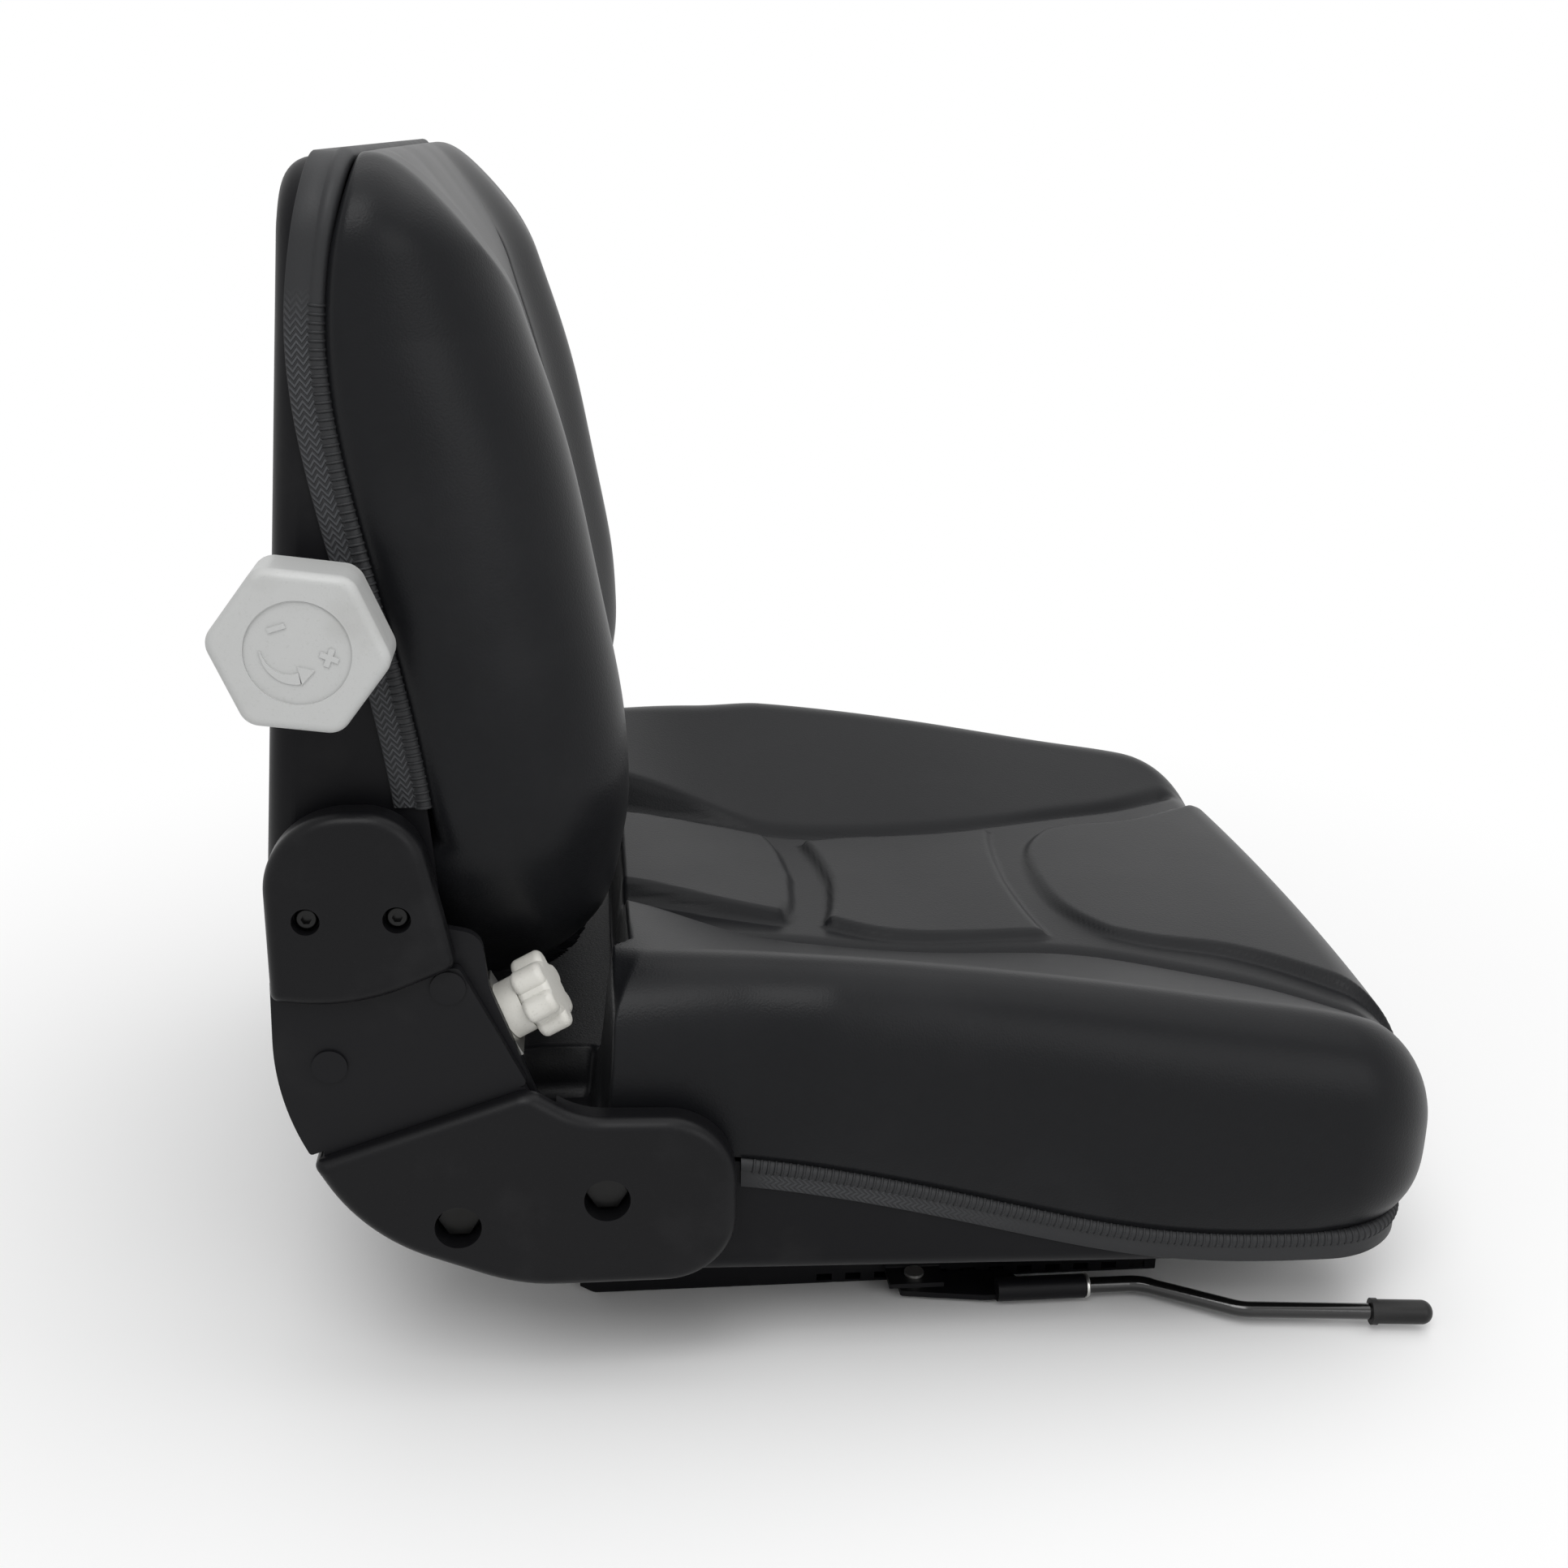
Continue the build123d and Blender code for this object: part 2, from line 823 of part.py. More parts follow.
def upper_arm_face():
    """Upper arm: it shows between the covers and runs inside both of them."""
    shown = rounded(
        (-279, 215, 2),
        (-280.5, 158, 120),
        (-267, 129, 1.5),
        (-170.5, 161, 2),
        (-198.5, 218, 3),
    )
    head = rounded((-275, 208, 2), (-275, 288, 32), (-218, 288, 22), (-204, 222, 3))
    tongue = rounded(
        (-261, 150, 3),
        (-261, 128, 4),
        (-250, 110, 8),
        (-160, 135, 6),
        (-172, 160, 3),
    )
    return shown + head + tongue


def turned(x, z, angle):
    """Place that a point of the back reaches when the back reclines by angle."""
    turn = math.radians(angle)
    dx = x - pivot_x
    dz = z - pivot_z
    return (
        pivot_x + dx * math.cos(turn) - dz * math.sin(turn),
        pivot_z + dx * math.sin(turn) + dz * math.cos(turn),
    )


def arc_slot(x, z, radius):
    """Slot round the pivot in which a pin at (x, z) moves as the back reclines."""
    reach = math.hypot(x - pivot_x, z - pivot_z)
    extra = math.degrees(slot_clear / reach)
    points = [turned(x, z, angle) for angle in (-extra, recline / 2, recline + extra)]
    arc = ThreePointArc(*points)
    return make_face(offset(arc, amount=radius + pivot_clear, side=Side.BOTH))


def upper_arm():
    """Steel arm on the back, with holes for the pivot, its stop stud and its screws."""
    arm = slab(upper_arm_face(), upper_in, upper_out)
    arm -= side_cylinder(pivot_x, pivot_z, pivot_radius + pivot_clear, upper_in, upper_out)
    arm -= side_cylinder(stop_x, stop_z, stop_radius, upper_in, upper_out)
    for x, z in cover_screw_places():
        arm -= side_cylinder(x, z, screw_size / 2 + bolt_clear, upper_in, upper_out)
    return arm


def lower_arm_face():
    """Lower arm: it lies behind the upper arm and carries the pivot and both arc slots."""
    return rounded(
        (-90, 69, 16),
        (-90, 132, 14),
        (-163, 143, 20),
        (-186, 205, 20),
        (-189, 231, 10),
        (-220, 238, 14),
        (-272, 196, 26),
        (-272, 150, 40),
        (-240, 90, 60),
        (-178, 69, 60),
    )


def lower_arm(slots):
    """Steel arm on the seat."""
    arm = slab(lower_arm_face(), arm_in, arm_out)
    arm -= side_cylinder(pivot_x, pivot_z, pivot_radius, arm_in, arm_out)
    for face in slots:
        arm -= slab(face, arm_in, arm_out)
    return arm - arm_bolt_holes(arm_in, arm_out)


def shell(outline, inner):
    """Plastic cover with a rounded outer edge, open on its inner side."""
    face = rounded(*outline)
    body = slab(face, inner, cover_outer)
    outer = body.faces().sort_by(Axis.Y)[0]
    body = fillet(outer.edges(), cover_edge)
    hollow = slab(offset(face, -cover_wall), inner, cover_outer - cover_wall)
    return body - hollow


def upper_cover():
    """Cover over the upper arm's head, with two screw recesses."""
    cover = shell(upper_cover_outline(), arm_out + 0.5)
    mouth = slab(offset(upper_arm_face(), 0.4), arm_out, upper_out + 0.3)
    cover -= mouth
    for x, z in cover_screw_places():
        cover += side_cylinder(x, z, screw_recess / 2 + 2, upper_out, cover_outer - 1)
        well = upper_out + screw_seat
        cover -= side_cylinder(x, z, screw_recess / 2, well, cover_outer + 1)
        cover -= side_cylinder(x, z, screw_size / 2 + bolt_clear, upper_out, well)
    return cover


def lower_cover():
    """Kidney-shaped cover over the lower arm, with two access holes for its bolts."""
    cover = shell(lower_cover_outline(), arm_out)
    sweep = 6
    mouths = []
    for i in range(sweep + 1):
        turn = Pos(pivot_x, pivot_z) * Rot(0, 0, recline * i / sweep) * Pos(-pivot_x, -pivot_z)
        mouths.append(slab(offset(turn * upper_arm_face(), 0.6), arm_out, upper_out + 0.5))
    cover -= mouths
    for x, z in arm_bolt_places():
        cover += side_cylinder(x, z, access_hole / 2 + cover_wall, arm_out, cover_outer - 1)
        cover -= side_cylinder(x, z, access_hole / 2, arm_out, cover_outer + 1)
    return cover


def pivot_pin():
    """Shoulder rivet of the hinge, fixed in the lower arm."""
    shank = side_cylinder(pivot_x, pivot_z, pivot_radius, arm_in, upper_out + 0.2)
    head_out = upper_out + 0.2 + rivet_proud
    head = side_cylinder(pivot_x, pivot_z, rivet_head, upper_out + 0.2, head_out)
    tail = side_cylinder(pivot_x, pivot_z, rivet_head, arm_in - 2, arm_in)
    return shank + head + tail


def hinge_washer():
    """Thin washer between the arms."""
    gap = 0.05
    ring = side_cylinder(pivot_x, pivot_z, rivet_head + 2.5, arm_out, arm_out + washer_sheet)
    bore = side_cylinder(pivot_x, pivot_z, pivot_radius + gap, arm_out, arm_out + washer_sheet)
    return ring - bore


def stop_stud():
    """Headed stud in the upper arm that runs in the lower arm's slot."""
    tail_out = arm_in - slot_clear
    shank = side_cylinder(stop_x, stop_z, stop_radius, tail_out, upper_out)
    head = side_cylinder(stop_x, stop_z, rivet_head, upper_out, upper_out + rivet_proud)
    tail = side_cylinder(stop_x, stop_z, stop_radius + 2.5, tail_out - 1.5, tail_out)
    return shank + head + tail


def arm_spacers():
    """Rings between the lower arm and the seat pan."""
    rings = []
    for x, z in arm_bolt_places():
        ring = side_cylinder(x, z, arm_bolt, pan_half_width, arm_in)
        rings.append(ring - side_cylinder(x, z, arm_bolt / 2 + bolt_clear, pan_half_width, arm_in))
    return Compound(children=rings)


def hexagon_nut(x, z, size, inner, outer):
    """Plain nut of the right side, bored for its bolt."""
    nut = slab(Pos(x, z) * RegularPolygon(0.92 * size, 6), inner, outer)
    return nut - side_cylinder(x, z, size / 2, inner, outer)


def arm_bolts():
    """Hexagon bolts that hold the lower arm to the seat pan, with their nuts."""
    bolts = []
    wall = pan_half_width - pan_sheet
    for x, z in arm_bolt_places():
        head = slab(Pos(x, z) * RegularPolygon(0.92 * arm_bolt, 6), arm_out, arm_out + 6)
        shank = side_cylinder(x, z, arm_bolt / 2, wall - 9, arm_out)
        bolts.append(head + shank)
        bolts.append(hexagon_nut(x, z, arm_bolt, wall - 7, wall - nut_gap))
    return Compound(children=bolts)


def back_spacers():
    """Tubes between the upper arm and the back pan."""
    tubes = []
    for x, z in cover_screw_places():
        tube = side_cylinder(x, z, screw_size / 2 + 4, pan_half_width, upper_in)
        bore = side_cylinder(x, z, screw_size / 2 + bolt_clear, pan_half_width, upper_in)
        tubes.append(tube - bore)
    return Compound(children=tubes)


def cover_screws():
    """Pan-head screws in the upper cover's recesses, with their nuts inside the back pan."""
    screws = []
    seat = upper_out + screw_seat
    wall = pan_half_width - pan_sheet
    for x, z in cover_screw_places():
        head = side_cylinder(x, z, 0.85 * screw_size, seat, seat + 3.6)
        head = fillet(head.faces().sort_by(Axis.Y)[0].edges(), 1.6)
        head -= slab(Pos(x, z) * RegularPolygon(2.3, 6), seat + 1.4, seat + 4)
        shank = side_cylinder(x, z, screw_size / 2, wall - 7, seat)
        screws.append(head + shank)
        screws.append(hexagon_nut(x, z, screw_size, wall - 5, wall - nut_gap))
    return Compound(children=screws)


def add_hinges():
    """Arms, covers and fasteners of both sides."""
    stop_slot = arc_slot(stop_x, stop_z, stop_radius)
    pin_slot = arc_slot(pin_centre.X, pin_centre.Z, drive_pin / 2)
    parts["lower_arm_right"] = lower_arm([stop_slot, pin_slot])
    parts["lower_arm_left"] = mirrored(lower_arm([stop_slot]))
    both_sides("upper_arm", upper_arm())
    both_sides("lower_cover", lower_cover())
    both_sides("upper_cover", upper_cover())
    keep_pair("hinge_pivots", pivot_pin())
    keep_pair("hinge_washers", hinge_washer())
    keep_pair("stop_studs", stop_stud())
    keep_pair("arm_spacers", arm_spacers())
    keep_pair("arm_bolts", arm_bolts())
    keep_pair("back_spacers", back_spacers())
    keep_pair("cover_screws", cover_screws())


# Tilt adjuster
def along_screw(distance):
    """Plane across the tilt screw, at a distance from the knob's middle."""
    centre = tilt_centre + tilt_dir * distance
    return Plane(origin=centre, x_dir=(0, 1, 0), z_dir=tilt_dir)


def rod_between(start, end, radius):
    """Round stretch of the tilt screw."""
    return extrude(along_screw(start) * Circle(radius), amount=end - start)


def tilt_knob():
    """Lobed hand knob with a collar, moulded on its screw."""
    face = Circle(tilt_knob_round)
    for i in range(tilt_lobes):
        turn = Rot(0, 0, 360 * i / tilt_lobes)
        face += turn * Pos(tilt_knob_round - 1.5, 0) * Circle(tilt_lobe)
    half = tilt_knob_depth / 2
    knob = extrude(along_screw(-half) * face, amount=tilt_knob_depth)
    ends = knob.faces().sort_by(Axis(tilt_centre, tilt_dir))
    knob = fillet(ends[0].edges() + ends[-1].edges(), 3)
    return knob + rod_between(-half - tilt_collar_depth, -half, tilt_collar / 2)


def bracket_start():
    """Place of the adjuster bracket's plate along the screw."""
    return -tilt_knob_depth / 2 - tilt_collar_depth - 0.3


def tilt_rod():
    """Adjusting screw with a retaining collar behind its bracket."""
    top = bracket_start() + 0.3
    rod = rod_between(pin_along - nut_length - 4, top, tilt_screw / 2)
    ring_top = bracket_start() - bracket_sheet - 0.3
    return rod + rod_between(ring_top - 3, ring_top, tilt_screw / 2 + 3)


def adjuster_bracket():
    """Small plated angle on the lower arm that holds the tilt screw."""
    top = bracket_start()
    width = arm_in - tilt_out + 14
    height = 32
    middle = tilt_out - 14 + width / 2
    shift = -(middle - tilt_out)
    face = Pos(shift, 0) * Rectangle(width, height)
    plate = extrude(along_screw(top - bracket_sheet) * face, amount=bracket_sheet)
    plate -= rod_between(top - bracket_sheet - 1, top + 1, tilt_screw / 2 + 0.08)
    foot_face = Pos(-(arm_in - tilt_out - bracket_sheet / 2), 0) * Rectangle(bracket_sheet, height)
    foot = extrude(along_screw(top - 20) * foot_face, amount=20)
    return plate + foot


def travelling_nut():
    """Block on the tilt screw whose cross slot moves the drive pin."""
    inner = tilt_out - tilt_screw / 2 - 4
    outer = arm_in - 2
    width = outer - inner
    shift = -((inner + outer) / 2 - tilt_out)
    start = along_screw(pin_along - nut_length / 2)
    body = extrude(start * (Pos(shift, 0) * Rectangle(width, nut_width)), amount=nut_length)
    body -= rod_between(pin_along - nut_length, pin_along + nut_length, tilt_screw / 2 + 0.05)
    slot = SlotOverall(drive_pin + 3, drive_pin + 0.16)
    upwards = Rot(0, 0, tilt_pitch + 90)
    place = Pos(pin_centre.X, pin_centre.Z) * upwards
    return body - slab(place * slot, tilt_out + tilt_screw / 2 + 1, outer + 1)


def pin_on_arm():
    """Pin welded on the right upper arm, reaching through the lower arm into the nut."""
    inner = tilt_out + tilt_screw / 2 + 1.5
    return side_cylinder(pin_centre.X, pin_centre.Z, drive_pin / 2, inner, upper_in)


def add_tilt():
    """Tilt adjuster of the right side."""
    parts["tilt_knob"] = tilt_knob()
    parts["tilt_screw"] = tilt_rod()
    parts["adjuster_bracket"] = adjuster_bracket()
    parts["travelling_nut"] = travelling_nut()
    parts["drive_pin"] = pin_on_arm()


# Lumbar adjuster
def bush_radius():
    """Outer radius of the lumbar shaft's bushes."""
    return lumbar_shaft / 2 + 3


def cam_reach(turn):
    """Distance from the shaft to the plate when the cam has turned by an angle in radians."""
    return cam_start + cam_rate * turn


def cam_radius():
    """Largest radius of the cam."""
    return math.hypot(cam_reach(math.radians(lumbar_turn)), cam_rate)


def cam_point(turn):
    """Point of the involute that touches the plate at that turn."""
    reach = cam_reach(turn)
    return (
        reach * math.cos(turn) - cam_rate * math.sin(turn),
        reach * math.sin(turn) + cam_rate * math.cos(turn),
    )


def cam_face():
    """Involute flank, which lifts a flat plate evenly, closed by a plain heel."""
    steps = 9
    last = math.radians(lumbar_turn)
    flank = Spline(*[cam_point(last * i / steps) for i in range(steps + 1)])
    heel = cam_start
    closing = Polyline(flank @ 1, (-heel, -heel + 1), (heel - 2, -heel + 1), (heel, 0), flank @ 0)
    face = make_face([flank, closing])
    return face - Rectangle(lumbar_shaft + 0.1, lumbar_shaft + 0.1)


def lumbar_cams():
    """Two equal cams keyed on the square shaft."""
    half = cam_width / 2
    place = Pos(lumbar_x, lumbar_z)
    cam = slab(place * cam_face(), cam_spacing / 2 - half, cam_spacing / 2 + half)
    other = slab(place * cam_face(), -cam_spacing / 2 - half, -cam_spacing / 2 + half)
    return Compound(children=[cam, other])


def lumbar_rod():
    """Square shaft with round ends that turn in the bushes."""
    wall = pan_half_width - pan_sheet - 4
    square = slab(Pos(lumbar_x, lumbar_z) * Rectangle(lumbar_shaft, lumbar_shaft), -wall, wall)
    ends = side_cylinder(
        lumbar_x,
        lumbar_z,
        lumbar_shaft / 2,
        -pan_half_width - 6,
        lumbar_knob_face - lumbar_knob_depth + 10,
    )
    return square + ends


def lumbar_bush():
    """Flanged plastic bush in the back pan's side wall."""
    wall = pan_half_width - pan_sheet
    tube = side_cylinder(lumbar_x, lumbar_z, bush_radius() - 0.05, wall - 3, pan_half_width)
    flange_out = pan_half_width + 2
    flange = side_cylinder(lumbar_x, lumbar_z, bush_radius() + 3, pan_half_width, flange_out)
    bore = side_cylinder(lumbar_x, lumbar_z, lumbar_shaft / 2 + 0.05, wall - 4, flange_out + 1)
    return tube + flange - bore


def lumbar_knob():
    """Six-sided hand knob with a hub and a round recess in its face."""
    inner = lumbar_knob_face - lumbar_knob_depth
    hexagon = RegularPolygon(lumbar_knob_across / 2 + 2, 6)
    face = Rot(0, 0, lumbar_knob_turn) * fillet(hexagon.vertices(), lumbar_knob_corner)
    face = Pos(lumbar_x, lumbar_z) * face
    knob = slab(face, inner, lumbar_knob_face)
    knob = fillet(knob.faces().sort_by(Axis.Y)[0].edges(), 4)
    recess = side_cylinder(
        lumbar_x, lumbar_z, lumbar_recess / 2, lumbar_knob_face - 1.2, lumbar_knob_face + 1
    )
    hub = side_cylinder(lumbar_x, lumbar_z, 12, pan_half_width + 2.3, inner)
    knob = knob - recess + hub
    bore = side_cylinder(lumbar_x, lumbar_z, lumbar_shaft / 2 + 0.02, pan_half_width, inner + 10.3)
    return knob - bore


def shaft_clip():
    """Push-on ring that keeps the shaft's left end."""
    inner = pan_half_width + 2.3
    ring = side_cylinder(lumbar_x, lumbar_z, 8, inner, inner + 1.5)
    ring -= side_cylinder(lumbar_x, lumbar_z, lumbar_shaft / 2 + 0.02, inner, inner + 1.5)
    return mirrored(ring)


def peg_places():
    """Places of the lumbar plate's guide pegs, in Y and Z."""
    return [
        (side * peg_spacing_y / 2, lumbar_z + up * peg_spacing_z / 2)
        for side in (-1, 1)
        for up in (-1, 1)
    ]


def rod_x(y, z, radius, rear, front):
    """Round bar along X."""
    return Pos((rear + front) / 2, y, z) * Rot(0, 90, 0) * Cylinder(radius, front - rear)


def lumbar_plate():
    """Moulded plate with four pegs, pushed forwards by the cams."""
    back = lumbar_x + cam_start + 0.3
    sheet = Box(lumbar_plate_sheet, lumbar_plate_width, lumbar_plate_height)
    plate = Pos(back + lumbar_plate_sheet / 2, 0, lumbar_z) * sheet
    plate = fillet(plate.edges().filter_by(Axis.X), 18)
    for y, z in peg_places():
        plate += rod_x(y, z, peg / 2, back - 20, back)
    return plate


def lumbar_guides():
    """Sleeves on the back pan in which the plate's pegs slide."""
    front = lumbar_x + cam_start - 2.5
    inside = back_form(pan_sheet)
    sleeves = []
    for y, z in peg_places():
        tube = rod_x(y, z, peg / 2 + 3, front - 40, front) & inside
        sleeves.append(tube - rod_x(y, z, peg / 2 + 0.1, front - 41, front + 1))
    return Compound(children=sleeves)


def add_lumbar():
    """Lumbar adjuster inside the back."""
    parts["lumbar_knob"] = lumbar_knob()
    parts["lumbar_shaft"] = lumbar_rod()
    parts["lumbar_cams"] = lumbar_cams()
    bush = lumbar_bush()
    parts["lumbar_bushes"] = Compound(children=[bush, mirrored(bush)])
    parts["shaft_clip"] = shaft_clip()
    parts["lumbar_plate"] = lumbar_plate()
    parts["lumbar_guides"] = lumbar_guides()


# Slide latch
def latch_plate():
    """Toothed plate on an upright rivet, with a tube for the lever's rod."""
    top = latch_level + latch_sheet
    wall = rail_out + rail_width / 2
    front = latch_tooth_x + latch_pitch + 6
    inner = wall + latch_gap + (front - latch_pivot_x) * math.sin(math.radians(latch_turn))
    heel = wall + latch_gap + latch_heel * math.sin(math.radians(latch_open))
    outline = make_face(
        FilletPolyline(
            (latch_pivot_x - latch_heel, -heel),
            (latch_pivot_x, -wall - latch_gap),
            (front, -inner),
            (front + 10, -socket_out),
            (latch_tooth_x + 4, -socket_out),
            (latch_pivot_x - latch_heel, -latch_pivot_out - latch_heel),
            radius=2,
            close=True,
        )
    )
    plate = Pos(0, 0, latch_level) * extrude(outline, amount=latch_sheet)
    tip = wall + latch_gap
    root = inner + 1
    tooth = Box(latch_tooth, root - tip, latch_sheet)
    for x in (latch_tooth_x, latch_tooth_x + latch_pitch):
        plate += Pos(x, -(root + tip) / 2, latch_level + latch_sheet / 2) * tooth
    rear = latch_tooth_x + 10
    tube = rod_x(-socket_out, lever_level, socket_tube / 2, rear, socket_front)
    plate += tube
    plate -= rod_x(-socket_out, lever_level, lever_rod / 2 + 0.05, rear + 6, socket_front + 1)
    return plate - upright(latch_pivot_x, -latch_pivot_out, 0, top + 1, 3.05)


def lever_path():
    """Route of the lever's rod on its level."""
    rear = latch_tooth_x + 17
    return FilletPolyline(
        (rear, -socket_out, lever_level),
        (lever_bend_x, -socket_out, lever_level),
        (lever_jog_x, -lever_jog_out, lever_level),
        (lever_end_x, -lever_end_out, lever_level),
        radius=22,
    )


def slide_lever():
    """Bent rod of the slide lever."""
    path = lever_path()
    return sweep(Plane(path @ 0, z_dir=path % 0) * Circle(lever_rod / 2), path=path)


def lever_grip():
    """Moulded sleeve with a round end on the rod's front."""
    path = lever_path()
    end = path @ 1
    along = path % 1
    size = grip_size / 2
    start = end - along * (grip_length - size)
    sleeve = extrude(Plane(start, z_dir=along) * Circle(size), amount=grip_length)
    tip = sleeve.faces().sort_by(Axis(end, along))[-1]
    sleeve = fillet(tip.edges(), size - 0.5)
    collar = extrude(Plane(start, z_dir=along) * Circle(size + 0.6), amount=3)
    bore = extrude(Plane(start, z_dir=along) * Circle(lever_rod / 2 + 0.02), amount=grip_length - size)
    return sleeve + collar - bore


def lever_clip():
    """Wire ring round the rod at the mouth of its tube."""
    middle = socket_front + 1.4
    ring = Pos(middle, -socket_out, lever_level) * Rot(0, 90, 0)
    return ring * Torus(lever_rod / 2 + 1.1, 1)


def latch_bracket():
    """Folded bracket on the upper rail that carries the latch rivet."""
    wall = rail_out + rail_width / 2
    line = FilletPolyline(
        (-rail_out + 8, upper_rail_top),
        (-wall - 1.2, upper_rail_top),
        (-wall - 1.2, latch_level + latch_sheet + 2.2),
        (-latch_pivot_out - 9, latch_level + latch_sheet + 2.2),
        radius=[1, 3.2],
    )
    face = make_face(offset(line, amount=bracket_sheet, side=Side.RIGHT))
    body = Pos(latch_pivot_x - 14, 0, 0) * extrude(Plane.YZ * face, amount=28)
    return body - upright(latch_pivot_x, -latch_pivot_out, 0, 20, 3.02)


def latch_rivet():
    """Upright rivet on which the latch plate turns."""
    top = latch_level + latch_sheet + 2.2 + bracket_sheet
    shank = upright(latch_pivot_x, -latch_pivot_out, latch_level - 0.2, top, 3)
    low_head = upright(latch_pivot_x, -latch_pivot_out, latch_level - 1.7, latch_level - 0.2, 5)
    high_head = upright(latch_pivot_x, -latch_pivot_out, top, top + 1.5, 5)
    return shank + low_head + high_head


def latch_spacer():
    """Washer between the latch plate and its bracket."""
    low = latch_level + latch_sheet + 0.2
    ring = upright(latch_pivot_x, -latch_pivot_out, low, low + 1.8, 5.5)
    return ring - upright(latch_pivot_x, -latch_pivot_out, low, low + 2, 3.05)


def rail_fasteners():
    """Bolts from the pan's feet into nuts inside the upper rails."""
    bolts = []
    floor = upper_rail_top + pan_sheet
    for side in (-1, 1):
        for x in boss_x_places():
            place = Pos(x, side * rail_out, 0)
            head = upright(0, 0, floor, floor + 4.5, rail_bolt)
            head = fillet(head.faces().sort_by(Axis.Z)[-1].edges(), 3)
            shank = upright(0, 0, upper_rail_top - 13, floor, rail_bolt / 2)
            nut = Pos(0, 0, upper_rail_top - rail_sheet - 6.5) * extrude(
                RegularPolygon(7.4, 6), amount=6.5
            )
            nut -= upright(0, 0, 0, upper_rail_top, rail_bolt / 2)
            bolts += [place * (head + shank), place * nut]
    return Compound(children=bolts)


def add_slide_controls():
    """Latch, lever and the bolts between the slides and the seat pan."""
    parts["latch_plate"] = latch_plate()
    parts["slide_lever"] = slide_lever()
    parts["lever_grip"] = lever_grip()
    parts["lever_clip"] = lever_clip()
    parts["latch_bracket"] = latch_bracket()
    parts["latch_rivet"] = latch_rivet()
    parts["latch_spacer"] = latch_spacer()
    parts["rail_bolts"] = rail_fasteners()


def build():
    """Make every piece and write it."""
    add_rails()
    parts["seat_pan"] = seat_pan()
    parts["seat_trim"] = seat_trim()
    parts["seat_cushion"] = seat_cushion()
    parts["back_pan"] = back_pan()
    parts["back_trim"] = back_trim()
    parts["back_cushion"] = back_cushion()
    add_hinges()
    add_tilt()
    add_lumbar()
    add_slide_controls()
    os.makedirs("parts", exist_ok=True)
    for name, shape in parts.items():
        export_step(shape, "parts/" + name + ".step")


build()
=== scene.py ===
# %% [markdown]
# # A forklift seat, dressed in Blender
# The real seat has two cushions of moulded foam with a vinyl skin. They sit in pressed steel
# pans whose rims are gripped by a rubber edging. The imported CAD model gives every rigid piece,
# so this script makes only what CAD is poor at: the soft cushions, the ribbed edging, the
# marks on the lumbar knob, and a finish for every surface.

import json
import math

import bmesh
import bpy
import numpy as np
from mathutils import Matrix, Vector

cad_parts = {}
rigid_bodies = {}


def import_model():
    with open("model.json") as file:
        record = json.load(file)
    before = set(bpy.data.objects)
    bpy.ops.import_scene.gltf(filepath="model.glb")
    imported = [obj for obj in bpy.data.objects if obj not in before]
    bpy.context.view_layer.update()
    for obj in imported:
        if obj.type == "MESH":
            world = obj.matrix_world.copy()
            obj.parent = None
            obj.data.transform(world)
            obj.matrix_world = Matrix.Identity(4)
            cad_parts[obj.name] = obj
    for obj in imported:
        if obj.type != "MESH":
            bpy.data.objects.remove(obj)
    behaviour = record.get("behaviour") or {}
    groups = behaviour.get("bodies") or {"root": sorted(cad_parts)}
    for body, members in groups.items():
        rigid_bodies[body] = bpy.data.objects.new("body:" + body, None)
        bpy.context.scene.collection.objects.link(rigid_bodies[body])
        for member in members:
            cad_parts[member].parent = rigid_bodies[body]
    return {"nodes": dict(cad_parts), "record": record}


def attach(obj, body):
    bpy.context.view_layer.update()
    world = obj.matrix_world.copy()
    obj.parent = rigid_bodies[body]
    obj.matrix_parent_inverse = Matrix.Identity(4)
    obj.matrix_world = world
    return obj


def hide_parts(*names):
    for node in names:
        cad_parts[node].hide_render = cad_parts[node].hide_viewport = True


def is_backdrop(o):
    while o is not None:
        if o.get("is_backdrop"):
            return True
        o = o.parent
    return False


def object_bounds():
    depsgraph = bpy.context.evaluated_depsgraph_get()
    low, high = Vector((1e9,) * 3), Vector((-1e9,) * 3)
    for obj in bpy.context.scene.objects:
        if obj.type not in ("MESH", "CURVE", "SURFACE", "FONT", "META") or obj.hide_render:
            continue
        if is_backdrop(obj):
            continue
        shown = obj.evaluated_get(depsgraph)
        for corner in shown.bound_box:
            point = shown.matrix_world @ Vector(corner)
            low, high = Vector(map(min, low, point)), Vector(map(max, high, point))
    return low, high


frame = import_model()
cad_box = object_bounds()
nodes = frame["nodes"]
MM = 0.001
print("CAD nodes:", len(nodes))

# %% [markdown]
# The camera stands to the sitter's right and a little above, as a person would who looks
# down on the seat. Its three angles are set one after the other, so each can be read: pitch
# below the horizon, yaw towards the front of the seat, and a slight roll.

# %% Camera
camera_place = Vector((-140.04, -1010.0, 565.09)) * MM
camera_pitch = math.radians(-18.95)
camera_yaw = math.radians(6.07)
camera_roll = math.radians(-1.01)


def camera_axes(pitch, yaw, roll):
    """Right, up and forward directions of a camera that looks along +Y when all are zero."""
    level = math.cos(pitch)
    forward = Vector((level * math.sin(yaw), level * math.cos(yaw), math.sin(pitch)))
    flat = forward.cross(Vector((0, 0, 1))).normalized()
    right = flat * math.cos(roll) + forward.cross(flat) * math.sin(roll)
    return right, right.cross(forward), forward


